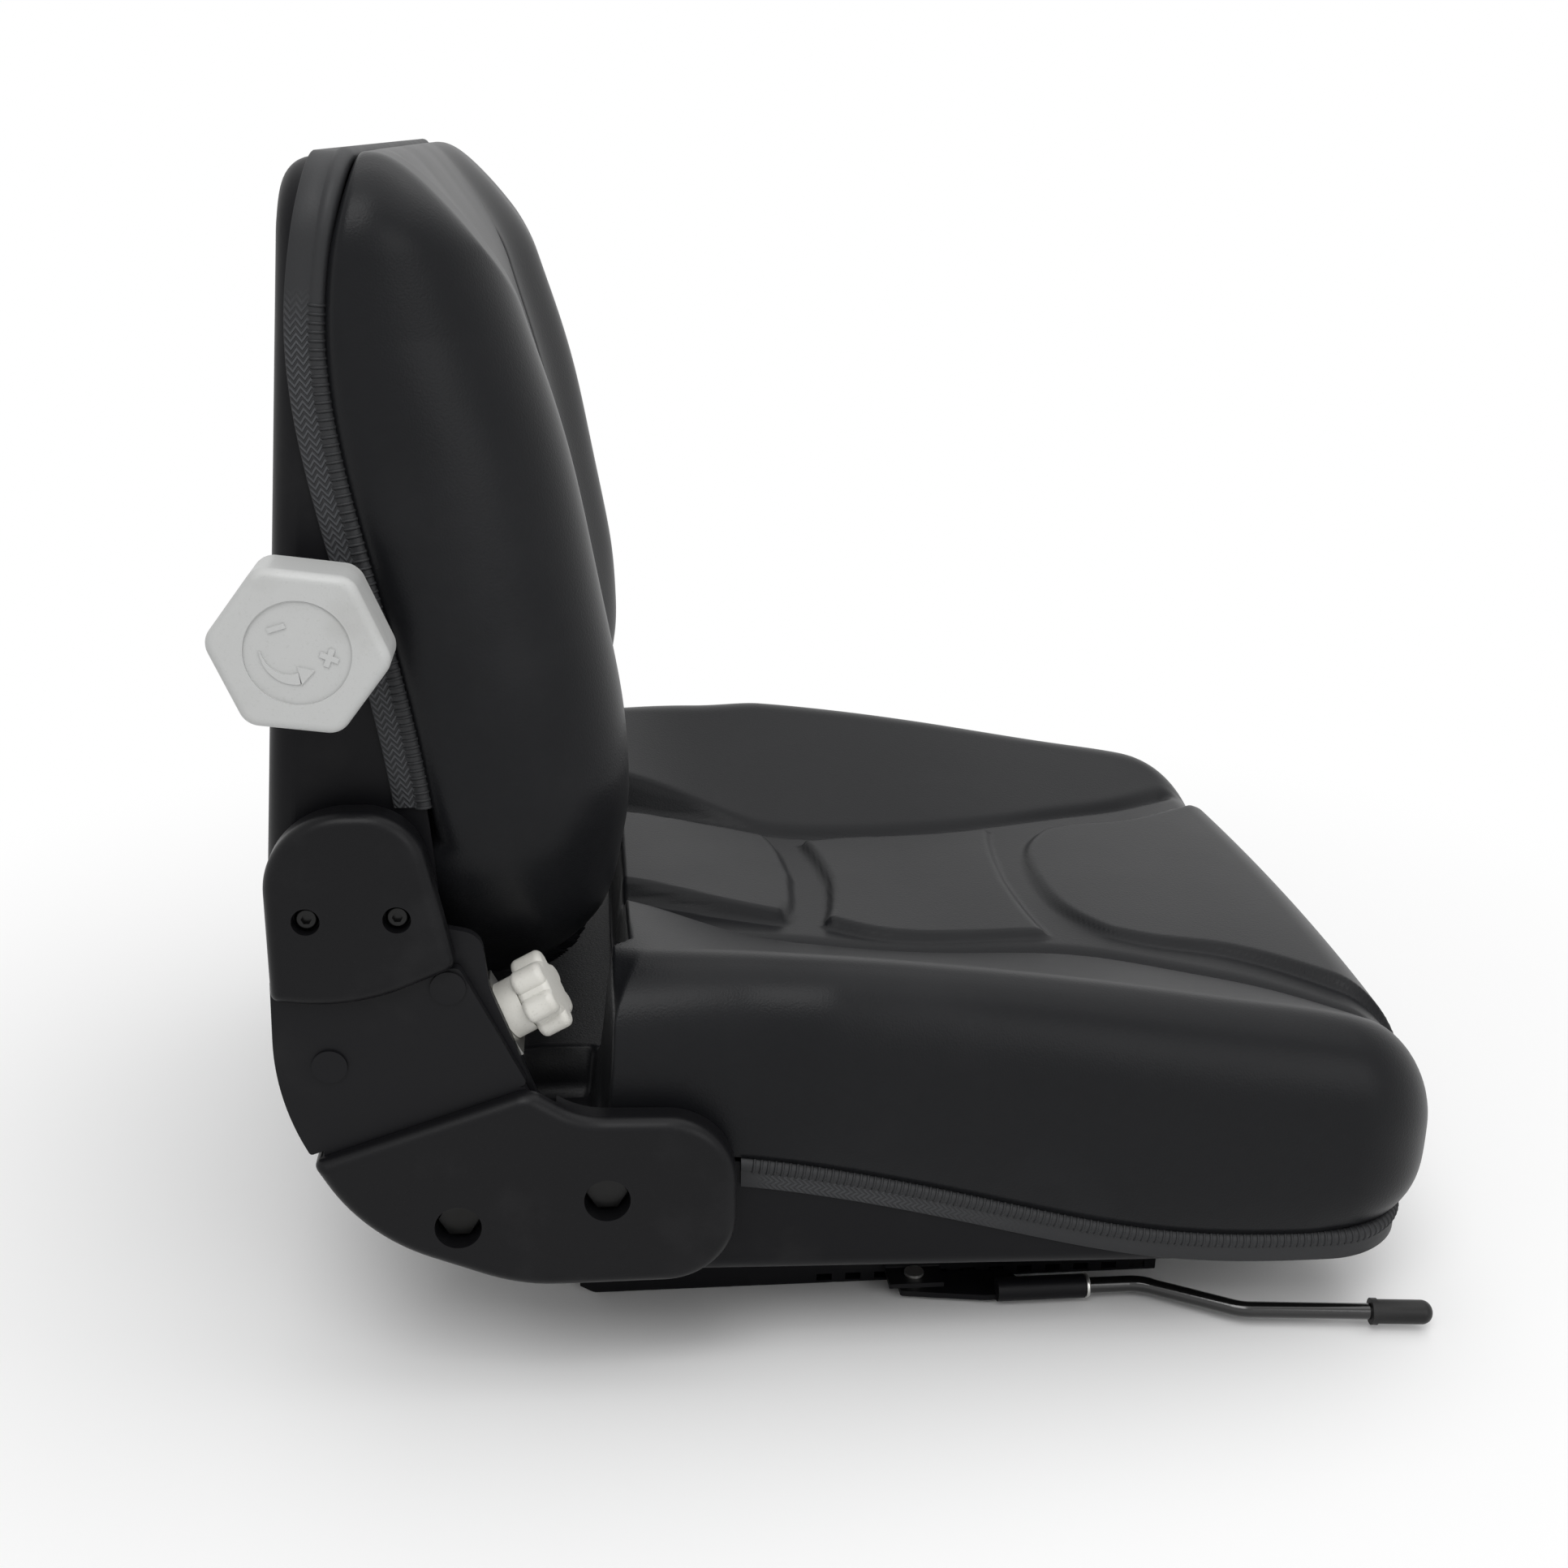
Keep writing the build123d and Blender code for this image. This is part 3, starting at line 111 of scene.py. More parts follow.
right, up, forward = camera_axes(camera_pitch, camera_yaw, camera_roll)
camera = bpy.data.objects.new("camera", bpy.data.cameras.new("camera"))
camera.data.sensor_width = 36
camera.data.lens = 43.98
camera.data.clip_end = 50
turn = Matrix((right, up, -forward)).transposed().to_4x4()
camera.matrix_world = Matrix.Translation(camera_place) @ turn
bpy.context.scene.collection.objects.link(camera)
bpy.context.scene.camera = camera
bpy.context.scene.view_settings.view_transform = "Standard"
print("camera looks along", tuple(round(c, 3) for c in forward))

# %% [markdown]
# Nodes are added by one helper, for shaders and for geometry alike. It takes the node's type,
# its settings and what goes into its sockets. A socket gets either a plain value or a link.

# %% One way to add a node


class Field:
    """A value that varies over a surface. Arithmetic on it adds Math nodes."""

    def __init__(self, tree, socket):
        self.tree = tree
        self.socket = socket

    def math(self, operation, first, second=0.0):
        made = add_node(self.tree, "ShaderNodeMath", {"operation": operation},
                        {0: first, 1: second})
        return Field(self.tree, made.outputs[0])

    def __add__(self, other):
        return self.math("ADD", self, other)

    __radd__ = __add__

    def __mul__(self, other):
        return self.math("MULTIPLY", self, other)

    __rmul__ = __mul__

    def __sub__(self, other):
        return self.math("SUBTRACT", self, other)

    def __rsub__(self, other):
        return self.math("SUBTRACT", other, self)

    def __truediv__(self, other):
        return self.math("DIVIDE", self, other)

    def whole(self):
        return self.math("FLOOR", self)

    def part(self):
        return self.math("FRACT", self)

    def size(self):
        return self.math("ABSOLUTE", self)

    def ramp(self, low, high):
        """0 below low and 1 above high, with a smooth rise between them."""
        made = add_node(self.tree, "ShaderNodeMapRange", {"interpolation_type": "SMOOTHSTEP"},
                        {"Value": self, "From Min": low, "From Max": high})
        return Field(self.tree, made.outputs[0])


def add_node(tree, kind, settings=None, sockets=None):
    """New node with its settings made first, then its sockets filled or linked."""
    node = tree.nodes.new(kind)
    for name, value in (settings or {}).items():
        setattr(node, name, value)
    for name, value in (sockets or {}).items():
        if isinstance(value, Field):
            tree.links.new(value.socket, node.inputs[name])
        elif isinstance(value, bpy.types.NodeSocket):
            tree.links.new(value, node.inputs[name])
        else:
            node.inputs[name].default_value = value
    return node


# %% [markdown]
# A finish is one Principled shader. Its steady numbers are set on the shader's own sockets.
# Only colour, roughness and the bump vary, and they read Object coordinates, so the grain
# stays on the piece when it moves.

# %% A finish and its grain


class Finish:
    """A procedural material for one kind of surface."""

    def __init__(self, name, colour, roughness, metallic=0.0, **steady):
        self.material = bpy.data.materials.new(name)
        self.material.use_nodes = True
        self.tree = self.material.node_tree
        self.tree.nodes.clear()
        self.colour = colour
        sockets = {"Base Color": (*colour, 1), "Roughness": roughness, "Metallic": metallic}
        sockets.update({key.replace("_", " "): value for key, value in steady.items()})
        self.shader = add_node(self.tree, "ShaderNodeBsdfPrincipled", None, sockets)
        self.output = add_node(self.tree, "ShaderNodeOutputMaterial", None,
                               {"Surface": self.shader.outputs[0]})
        self.place = add_node(self.tree, "ShaderNodeTexCoord").outputs["Object"]

    def link(self, name, value):
        self.tree.links.new(getattr(value, "socket", value), self.shader.inputs[name])

    def noise(self, scale, detail=3.0, stretch=(1, 1, 1)):
        """Cloudy field from 0 to 1, drawn out along an axis where stretch is small."""
        place = add_node(self.tree, "ShaderNodeMapping", None,
                         {"Vector": self.place, "Scale": stretch})
        sockets = {"Vector": place.outputs[0], "Scale": scale, "Detail": detail}
        return Field(self.tree, add_node(self.tree, "ShaderNodeTexNoise", None, sockets).outputs[0])

    def cells(self, scale):
        """Field of small rounded cells, as in moulded grain."""
        sockets = {"Vector": self.place, "Scale": scale}
        made = add_node(self.tree, "ShaderNodeTexVoronoi", {"feature": "SMOOTH_F1"}, sockets)
        return Field(self.tree, made.outputs["Distance"])

    def tint(self, factor, other):
        """Base colour that goes from this finish's own to another one by the factor."""
        sockets = {0: factor, 6: (*self.colour, 1), 7: (*other, 1)}
        made = add_node(self.tree, "ShaderNodeMix", {"data_type": "RGBA"}, sockets)
        self.link("Base Color", made.outputs[2])

    def roughen(self, low, high, field):
        self.link("Roughness", field * (high - low) + low)

    def bump(self, height, depth):
        sockets = {"Height": height, "Distance": depth, "Strength": 1.0}
        self.link("Normal", add_node(self.tree, "ShaderNodeBump", None, sockets).outputs[0])


# %% [markdown]
# The cushions' skin is smooth vinyl with a fine moulded grain. On the real one the light
# lies in broad soft bands, so the roughness is middling and varies only slowly. A few
# rubbed patches are a little duller and paler.

# %% Cushion skin
vinyl = Finish("vinyl_skin", (0.0065, 0.0068, 0.0078), 0.36, Specular_IOR_Level=0.13)
rubbed = vinyl.noise(9, 5).ramp(0.55, 0.75)
vinyl.tint(rubbed * 0.6 + vinyl.noise(160, 2) * 0.25, (0.012, 0.0122, 0.0135))
vinyl.roughen(0.32, 0.44, vinyl.noise(14, 4) * 0.7 + rubbed * 0.3)
vinyl.bump(vinyl.cells(1150) * 0.7 + vinyl.noise(700, 2) * 0.5, 0.00009)
print("made", vinyl.material.name)

# %% [markdown]
# Painted steel differs by its use: the pans are satin, the hinge arms a little duller and the
# lever's rod glossy. Paint on pressed steel shows a faint orange peel and dust, which are a
# small bump and a slow change of roughness.

# %% Painted steel


def painted(name, colour, low, high, dust, **steady):
    """Paint with orange peel and a little dust."""
    finish = Finish(name, colour, low, **steady)
    cloud = finish.noise(22, 5)
    finish.tint(cloud.ramp(0.5, 0.8) * dust, (0.04, 0.039, 0.037))
    finish.roughen(low, high, cloud)
    finish.bump(finish.noise(420, 2), 0.00004)
    return finish


pan_paint = painted("pan_paint", (0.005, 0.005, 0.006), 0.34, 0.5, 0.2, Specular_IOR_Level=0.12)
arm_paint = painted("arm_paint", (0.006, 0.006, 0.007), 0.4, 0.55, 0.2, Specular_IOR_Level=0.15)
lever_paint = painted("lever_paint", (0.005, 0.005, 0.005), 0.12, 0.24, 0.1, Coat_Weight=0.3)
print("painted:", ", ".join(f.material.name for f in (pan_paint, arm_paint, lever_paint)))

# %% [markdown]
# Zinc plate is bright metal with fine drawn streaks and cloudy stains. The streaks come from
# noise that is stretched along X, the direction in which rails and rods are drawn.

# %% Bare metal


def plated(name, colour, low, high, streaks):
    """Bright metal with streaks along X and stains."""
    finish = Finish(name, colour, low, metallic=1.0)
    drawn = finish.noise(260, 3, (0.04, 1, 1))
    stain = finish.noise(34, 5).ramp(0.45, 0.75)
    finish.tint(stain * 0.6, tuple(c * k for c, k in zip(colour, (0.68, 0.65, 0.58))))
    finish.roughen(low, high, drawn * streaks + stain * (1 - streaks))
    finish.bump(drawn, 0.00003)
    return finish


zinc = plated("zinc_plate", (0.62, 0.62, 0.6), 0.28, 0.5, 0.6)
# Near-black zinc for the screws and bolts in the covers' deep holes: painted shade of those holes,
# put into their colour.
hole_shade_zinc = plated("hole_shade_zinc", (0.025, 0.025, 0.025), 0.25, 0.45, 0.5)
ball = plated("ball_steel", (0.72, 0.72, 0.72), 0.1, 0.2, 0.2)
print("metal:", ", ".join(f.material.name for f in (zinc, hole_shade_zinc, ball)))

# %% [markdown]
# Moulded plastics have a fine spark-eroded grain. The knobs are pale and show specks and
# handling marks, while the covers are black and show faint scuffs.

# %% Moulded plastic


def moulded(name, colour, worn, low, high, grain, depth, **steady):
    """Plastic with an even grain and soft marks of handling."""
    finish = Finish(name, colour, low, **steady)
    handled = finish.noise(30, 6).ramp(0.5, 0.72)
    finish.tint(handled * 0.5 + finish.noise(900, 1).ramp(0.6, 0.8) * 0.35, worn)
    finish.roughen(low, high, handled)
    finish.bump(finish.noise(grain, 2), depth)
    return finish


cover = moulded("cover_plastic", (0.005, 0.005, 0.0058), (0.012, 0.012, 0.013), 0.36, 0.5, 1500,
                0.00005, Specular_IOR_Level=0.15)
cage = moulded("cage_plastic", (0.1, 0.1, 0.1), (0.14, 0.14, 0.14), 0.45, 0.6, 900, 0.00005)
nylon = moulded("nylon", (0.75, 0.75, 0.72), (0.6, 0.59, 0.55), 0.4, 0.55, 700, 0.00004)
knob_grey = moulded("knob_grey", (0.45, 0.455, 0.45), (0.37, 0.37, 0.36), 0.42, 0.58, 1100, 0.00007)
knob_white = moulded("knob_white", (0.6, 0.59, 0.55), (0.38, 0.37, 0.33), 0.45, 0.62, 950, 0.0001)
grip = moulded("grip_black", (0.008, 0.008, 0.008), (0.02, 0.02, 0.02), 0.4, 0.55, 1200, 0.00006,
               Specular_IOR_Level=0.25)
plastics = (cover, cage, nylon, knob_grey, knob_white, grip)
print("plastic:", ", ".join(f.material.name for f in plastics))

# %% [markdown]
# The edging's flat carries rows of slanted strokes that meet in chevrons. Its UV map holds
# millimetres along and across the strip, so the strokes follow it round corners. The
# attribute called pattern says where the strokes show, because they fade out in places.

# %% Edging
stroke_pitch = 2.9
column_width = 2.2
edging = Finish("edging_rubber", (0.017, 0.0175, 0.019), 0.5, Specular_IOR_Level=0.3)
strip = add_node(edging.tree, "ShaderNodeSeparateXYZ", None,
                 {0: add_node(edging.tree, "ShaderNodeUVMap", {"uv_map": "strip"}).outputs[0]})
along = Field(edging.tree, strip.outputs[0])
across = Field(edging.tree, strip.outputs[1]) / column_width
shown = Field(edging.tree, add_node(
    edging.tree, "ShaderNodeAttribute", {"attribute_name": "pattern"}).outputs["Fac"])
lean = (across.whole() * 0.5).part() * 4 - 1
stroke = ((along / stroke_pitch + across.part() * lean).part() - 0.5).size().ramp(0.12, 0.34)
edging.tint(stroke * shown, (0.05, 0.052, 0.056))
edging.roughen(0.48, 0.64, edging.noise(60, 4))
edging.bump(stroke * shown + edging.noise(900, 2) * 0.1, 0.0006)
print("made", edging.material.name)

# %% [markdown]
# Every CAD node takes the finish of its slot in the record, except the screws and bolts in the
# covers' holes. Those take a near-black zinc, which is painted shade of their deep holes. Each
# node's mesh is left alone: only the material in its object's slots changes.

# %% Finishes on the CAD nodes
finishes = {
    "upholstery": vinyl, "black_steel": pan_paint, "arm_steel": arm_paint,
    "lever_gloss": lever_paint, "zinc_steel": zinc, "ball_steel": ball,
    "cover_plastic": cover, "cage_plastic": cage, "washer_plastic": nylon,
    "knob_grey": knob_grey, "knob_white": knob_white, "grip_black": grip, "edging": edging,
}
slot_of = {row["node"]: row["material_slot"] for row in frame["record"]["subparts"]}
for name, piece in nodes.items():
    # The screws and bolts that sit in the covers' holes take the near-black zinc, which is painted
    # shade of those holes.
    finish = hole_shade_zinc if name in ("cover_screws", "arm_bolts") else finishes[slot_of[name]]
    for slot in piece.material_slots:
        slot.material = finish.material
print("nodes finished:", len(slot_of))

# %% [markdown]
# Both cushions follow rules: heights along the seat, the line where a bolster starts, and
# the outlines of the raised pads. A smooth line through a few measured points gives each
# rule, so that it can be read and changed by itself.

# %% Smooth lines and steps


def smooth_line(*points):
    """Natural cubic curve through points, held level beyond its ends."""
    x = np.array([p[0] for p in points], float)
    y = np.array([p[1] for p in points], float)
    h = np.diff(x)
    n = len(x)
    system = np.eye(n)
    side = np.zeros(n)
    for i in range(1, n - 1):
        system[i, i - 1:i + 2] = h[i - 1], 2 * (h[i - 1] + h[i]), h[i]
        side[i] = 6 * ((y[i + 1] - y[i]) / h[i] - (y[i] - y[i - 1]) / h[i - 1])
    bend = np.linalg.solve(system, side)

    def at(value):
        value = np.clip(value, x[0], x[-1])
        i = np.clip(np.searchsorted(x, value) - 1, 0, n - 2)
        a = (x[i + 1] - value) / h[i]
        b = 1 - a
        curve = (a**3 - a) * bend[i] + (b**3 - b) * bend[i + 1]
        return a * y[i] + b * y[i + 1] + curve * h[i]**2 / 6

    return at


def step(value):
    """Smooth rise from 0 to 1 as the value goes from 0 to 1."""
    value = np.clip(value, 0, 1)
    return value * value * (3 - 2 * value)


def quarter(past, radius):
    """Height of a quarter circle at a distance past the start of its bend."""
    return np.sqrt(radius**2 - np.clip(past, 0, radius)**2)


def end_spacing(gap):
    """Spacing of a grid in millimetres: very fine at an end and wider with the gap to it."""
    return np.minimum(2.1, 0.25 + 0.09 * gap)


def spread(low, high, spacing):
    """Places from low to high whose spacing is about what the rule says at each place."""
    fine = np.linspace(low, high, 4000)
    count = np.concatenate([[0], np.cumsum(np.diff(fine) / spacing(fine[1:]))])
    return np.interp(np.linspace(0, count[-1], int(round(count[-1])) + 1), count, fine)


# %% [markdown]
# A moulded cushion is made from a grid that is stretched to the cushion's outline by a Coons
# patch: straight blending between four border curves. The grid is fine near the border,
# where the skin rolls over. The height then falls off towards the border like a quarter of an
# ellipse. Rings go on from the border down the wall, under the cushion and to a pole, so the
# form is closed. The seat lies and the back stands, so one of two functions places the points.

# %% Moulded cushion from an outline


def lying(a, b, height):
    """Place of a point on the seat, whose outline is in X and Y."""
    return a, b, height


def standing(a, b, height):
    """Place of a point on the back, whose outline is in Z and Y."""
    return height, b, a


def coons(side, low_end, high_end, u, v):
    """Grid inside an outline that is the same on both sides. Points are (a, b)."""
    flipped = side * (1, -1)
    across = v[None, :, None]
    down = u[:, None, None]
    grid = (1 - across) * flipped[:, None] + across * side[:, None]
    grid = grid + (1 - down) * low_end[None] + down * high_end[None]
    corners = (1 - down) * ((1 - across) * flipped[0] + across * side[0])
    return grid - corners - down * ((1 - across) * flipped[-1] + across * side[-1])


def border_of(rows, columns):
    """Vertex numbers round the edge of a grid, in order."""
    number = np.arange(rows * columns).reshape(rows, columns)
    return np.concatenate([number[:-1, 0], number[-1, :-1], number[:0:-1, -1], number[0, :0:-1]])


def border_distance(points, loop, reach):
    """Distance to the border, within reach, and how far the border there faces along a."""
    batch = 4000
    start, end = loop, np.roll(loop, -1, 0)
    run = end - start
    length = (run**2).sum(1)
    distance = np.full(len(points), reach)
    facing = np.zeros(len(points))
    for first in range(0, len(points), batch):
        p = points[first:first + batch]
        t = np.clip(((p[:, None] - start) * run).sum(2) / length, 0, 1)
        gap = np.hypot(*np.moveaxis(p[:, None] - start - t[..., None] * run, 2, 0))
        near = gap.argmin(1)
        distance[first:first + batch] = np.minimum(gap[np.arange(len(p)), near], reach)
        facing[first:first + batch] = run[near, 1]**2 / length[near]
    return distance, facing


def inward(loop):
    """Unit directions into an outline at its points."""
    run = np.roll(loop, -1, 0) - np.roll(loop, 1, 0)
    normal = np.stack([-run[:, 1], run[:, 0]], 1) / np.hypot(*run.T)[:, None]
    centre = loop.mean(0)
    return normal * np.sign(((centre - loop) * normal).sum(1).mean())


def closed_mesh(name, points, rows, columns, rings):
    """Mesh of a grid, rings that go on from its border, and a pole. Points are in metres."""
    number = np.arange(rows * columns).reshape(rows, columns)
    quads = np.stack([number[:-1, :-1], number[1:, :-1], number[1:, 1:], number[:-1, 1:]], -1)
    faces = quads.reshape(-1, 4).tolist()
    loop = border_of(rows, columns)
    for ring in range(rings):
        below = rows * columns + ring * len(loop) + np.arange(len(loop))
        wall = np.stack([loop, below, np.roll(below, -1), np.roll(loop, -1)], 1)
        faces += wall.tolist()
        loop = below
    pole = len(points) - 1
    faces += np.stack([loop, np.full(len(loop), pole), np.roll(loop, -1)], 1).tolist()
    return mesh_piece(name, points, faces)


def cushion(name, grid, height, rings, pole, place):
    """Closed vinyl cushion from its grid, the grid's heights, its rings and its pole."""
    a, b, middle = pole
    layers = [(grid.reshape(-1, 2), height), *rings, (np.array([[a, b]]), np.array([middle]))]
    points = [np.column_stack(place(*plan.T, level)) for plan, level in layers]
    piece = closed_mesh(name, np.concatenate(points) * MM, *grid.shape[:2], len(rings))
    piece.data.materials.append(vinyl.material)
    print(name, "has", len(piece.data.polygons), "faces")
    return piece


def mesh_piece(name, points, faces):
    """Object at the origin whose faces point outwards."""
    mesh = bpy.data.meshes.new(name)
    mesh.from_pydata([tuple(p) for p in points], [], faces)
    shape = bmesh.new()
    shape.from_mesh(mesh)
    bmesh.ops.recalc_face_normals(shape, faces=shape.faces)
    shape.to_mesh(mesh)
    shape.free()
    mesh.shade_smooth()
    piece = bpy.data.objects.new(name, mesh)
    bpy.context.scene.collection.objects.link(piece)
    return piece


# %% [markdown]
# The seat's outline is a rectangle with a bowed front and round corners. It grows by eight
# millimetres over the pan, because the foam bulges past the rim. The rim itself dips from
# the hinge to the front. The edging is pushed five millimetres down over it, and the
# cushion's lower edge lies on the edging's bead.

# %% Seat outline and rim
pan_half = 228
foam_bulge = 8
foam_half = pan_half + foam_bulge
seat_bow = 14
seat_front = 256
seat_front_edge = seat_front + foam_bulge + seat_bow
seat_back_edge = -204
bead_sink = 5
bead_top = 8.4 - bead_sink
bead_middle = 4.2 - bead_sink
seat_rim = smooth_line((-288, 130), (-228, 122), (-75, 110), (40, 84), (130, 62), (226, 57),
                       (316, 60))


def seat_front_line(y, grow):
    """Bowed front of the outline."""
    half = pan_half + grow
    return seat_front + grow + seat_bow * (1 - (y / half)**2)


def seat_corner(grow):
    """Centre and radius of the front corner's arc."""
    radius = 45 + grow
    y = pan_half + grow - radius
    slope = 2 * seat_bow * y / (pan_half + grow)**2
    return seat_front_line(y, grow) - radius * math.hypot(1, slope), y, radius


def seat_half(x, grow):
    """Half width of the outline at x, with the round front corner."""
    cx, cy, radius = seat_corner(grow)
    return np.where(x < cx, pan_half + grow, cy + quarter(x - cx, radius))


def seat_end(y, grow):
    """Front of the outline at y, with the round corner."""
    cx, cy, radius = seat_corner(grow)
    past = np.abs(y) - cy
    front = seat_front_line(y, grow)
    return np.where(past > 0, np.minimum(cx + quarter(past, radius), front), front)


print("seat outline:", 2 * foam_half, "mm wide, front at", seat_front_edge)

# %% [markdown]
# The top of the seat is a low channel floor with three raised pads in it and a bolster on
# each side. The bolster's inner face is nearly straight, and its rear foot is steeper. Behind
# the sitter, the top drops to a shelf that leaves room for the backrest and its hinges.

# %% Seat top
channel = smooth_line((-204, 168), (-150, 173), (-90, 166), (-20, 155), (50, 152), (108, 154),
                      (180, 151), (230, 147), (256, 143), (290, 135))
crest = smooth_line((-204, 196), (-140, 200), (-74, 203), (7, 197), (90, 185), (176, 170),
                    (230, 160), (256, 152), (290, 140))
bolster_foot = smooth_line((-204, 95), (-120, 94), (-72, 92), (-40, 85), (-2, 86), (57, 92),
                           (90, 96), (125, 105), (162, 120), (201, 138), (256, 178), (290, 196))
pad_height = smooth_line((-204, 12), (-117, 12), (-60, 8.5), (290, 8))
rear_side = smooth_line((-204, 58), (-117, 59.5), (-64, 64), (-30, 64))
rear_front = smooth_line((0, -25), (26, -27), (54, -32), (70, -40))
middle_rear = smooth_line((0, -9), (30, -12), (62, -19), (90, -30))
middle_side = smooth_line((-30, 60), (-19, 62), (6, 73), (35, 79), (71, 81), (110, 84))
middle_front = smooth_line((0, 98.5), (40, 100.5), (80, 106), (100, 111))
tongue_rear = smooth_line((0, 111), (31, 113), (58, 121), (81, 136), (110, 160))
tongue_side = smooth_line((100, 76), (136, 81.5), (155, 91), (191, 101), (248, 140), (290, 170))
crest_out = 208
pad_edge = 6.5
groove_depth = 5
groove_width = 5
nose = 4
shelf = 147
shelf_edge = -131
foot_rise = 20
knee_width = 5
rear_corner = 122


def pads(x, y):
    """Relief of the three raised pads."""
    rear = step((rear_front(y) - x) / pad_edge) * step((rear_side(x) - y) / pad_edge)
    middle = step((x - middle_rear(y)) / pad_edge) * step((middle_front(y) - x) / pad_edge)
    middle = middle * step((middle_side(x) - y) / pad_edge)
    tongue = step((x - tongue_rear(y)) / pad_edge) * step((tongue_side(x) - y) / pad_edge)
    return pad_height(x) * (rear + middle + tongue)


def seat_top(x, y):
    """Height of the seat's top before its border rolls over."""
    y = np.abs(y)
    foot = bolster_foot(x)
    low = channel(x)
    steep = foot_rise * step((-30 - x) / 110)
    rise = (y - foot) / (crest_out - foot)
    knee = knee_width / (crest_out - foot)
    rise = (rise + np.sqrt(rise**2 + knee**2)) / 2
    top = low + steep * step((y - foot) / 9) + (crest(x) + 3 - low - steep) * rise
    groove = np.exp(-((y - foot) / groove_width)**2)
    top = top - groove_depth * groove * step((252 - x) / 16)
    top = top + pads(x, y)
    beside = step((y - 172) / 12)
    top = shelf + (top - shelf) * step((x - shelf_edge + 8 * beside) / 8)
    corner = step((-139 - x) / 5) * step((y - 178) / 4)
    return top + (rear_corner - top) * corner


print("channel at the middle of the seat:", round(float(channel(0))), "mm high")

# %% [markdown]
# The foam is drawn in at the rear, once beside the hinge arms and again behind them. Its front
# bulges over the edging as a soft nose. Below the border the wall tucks in towards the rim,
# turns under and ends at the foam's level underside, out of sight in the pan.

# %% Seat cushion
arm_room = 5.5
hinge_room = 7.5
fine_rows_at = -130
foam_under = 75.0


def seat_foam_half(x):
    """Half width of the foam, drawn in behind the bolsters where the hinge arms are."""
    beside_arms = arm_room * step((-28 - x) / 46)
    return seat_half(x, foam_bulge) - beside_arms - hinge_room * step((-133 - x) / 8)


def seat_spacing(x):
    """Fine rows at both ends and at the rear step."""
    ends = end_spacing(np.minimum(x - seat_back_edge, seat_front_edge - x))
    return np.minimum(ends, 0.7 + 0.1 * np.abs(x - fine_rows_at))


def shares(places):
    """Places along a line as shares from 0 at its start to 1 at its end."""
    return (places - places[0]) / (places[-1] - places[0])


def places_across():
    """Places across a cushion, fine near both of its sides."""
    return spread(-foam_half, foam_half, lambda b: end_spacing(foam_half - np.abs(b)))


def seat_foam_grid():
    """Grid of the seat cushion in plan."""
    u = shares(spread(seat_back_edge, seat_front_edge, seat_spacing))
    v = shares(places_across())
    cx, cy, radius = seat_corner(foam_bulge)
    reach = radius * math.sqrt(0.5)
    rear_x, rear_radius = seat_back_edge + 6, 20
    a = rear_x + u * (cx + reach + nose - rear_x)
    half = seat_foam_half(a - nose * step((a - 150) / 80))
    half = half - rear_radius + quarter(seat_back_edge + rear_radius - a, rear_radius)
    side = np.stack([a, half], 1)
    b = side[0, 1] * (2 * v - 1)
    rear_half = foam_half - arm_room - hinge_room
    past = np.clip(np.abs(b) - (rear_half - rear_radius), 0, rear_radius)
    rear = seat_back_edge + rear_radius - quarter(past, rear_radius)
    rear = rear + (rear_x - rear[-1]) * step(past / max(past[-1], 1))
    front_b = side[-1, 1] * (2 * v - 1)
    front = np.stack([seat_end(front_b, foam_bulge) + nose, front_b], 1)
    return coons(side, np.stack([rear, b], 1), front, u, v)


def seat_lower_edge(x):
    """Height of the foam's lower edge: on the bead, and inside the pan at the rear."""
    on_bead = seat_rim(x) + bead_top
    return on_bead - (on_bead - 110) * step((-133 - x) / 6)


def rolled(top, distance, radius, depth, floor):
    """Top that falls off towards the border like a quarter of an ellipse."""
    depth = np.minimum(depth, 0.85 * (top - floor))
    share = np.clip(1 - distance / radius, 0, 1)
    return top - depth * (1 - np.sqrt(1 - share**2))


def wall_rings(loop, top, floor, tuck, middle):
    """Rings down the wall, under the lower edge and into the pan, to a level middle."""
    into = inward(loop)
    rings = []
    for q in np.linspace(0, 1, 15)[1:]:
        shift = tuck * q**4
        rings.append((loop + into * shift[:, None], top + (floor - top) * q))
    for further, drop in ((4, 0.3), (7.5, 1), (8, 4), (14, 6)):
        rings.append((loop + into * (tuck + further)[:, None], floor - drop))
    centre = loop.mean(0)
    middle_share = 0.62
    rings.append((centre + (loop - centre) * middle_share, np.full(len(loop), middle)))
    return rings


grid = seat_foam_grid()
rim = border_of(*grid.shape[:2])
flat_grid = grid.reshape(-1, 2)
border = flat_grid[rim]
distance, facing = border_distance(flat_grid, border, 60.0)
x, y = flat_grid.T
at_front = facing * step((x - 150) / 60)
at_rear = facing * step((-170 - x) / 20)
radius = 40 - 6 * at_front - 34 * at_rear
depth = 58 - 10 * step((-20 - x) / 90) - 13 * at_front - 40 * at_rear
seat_z = rolled(seat_top(x, y), distance, radius, depth, seat_lower_edge(x))
edge_x = border[:, 0]
tuck = 6 - arm_room * step((-28 - edge_x) / 46) + nose * step((edge_x - 200) / 40)
rings = wall_rings(border, seat_z[rim], seat_lower_edge(edge_x), tuck, foam_under)
seat_cushion = cushion("moulded_seat_cushion", grid, seat_z, rings, (30.0, 0.0, foam_under), lying)

# %% [markdown]
# The back cushion is made the same way, with its outline in Y and Z and its thickness
# forwards. It narrows towards its foot, so that it clears the hinges, and its centre panel
# lies lower than the two bolsters, with a sunk line on each side.

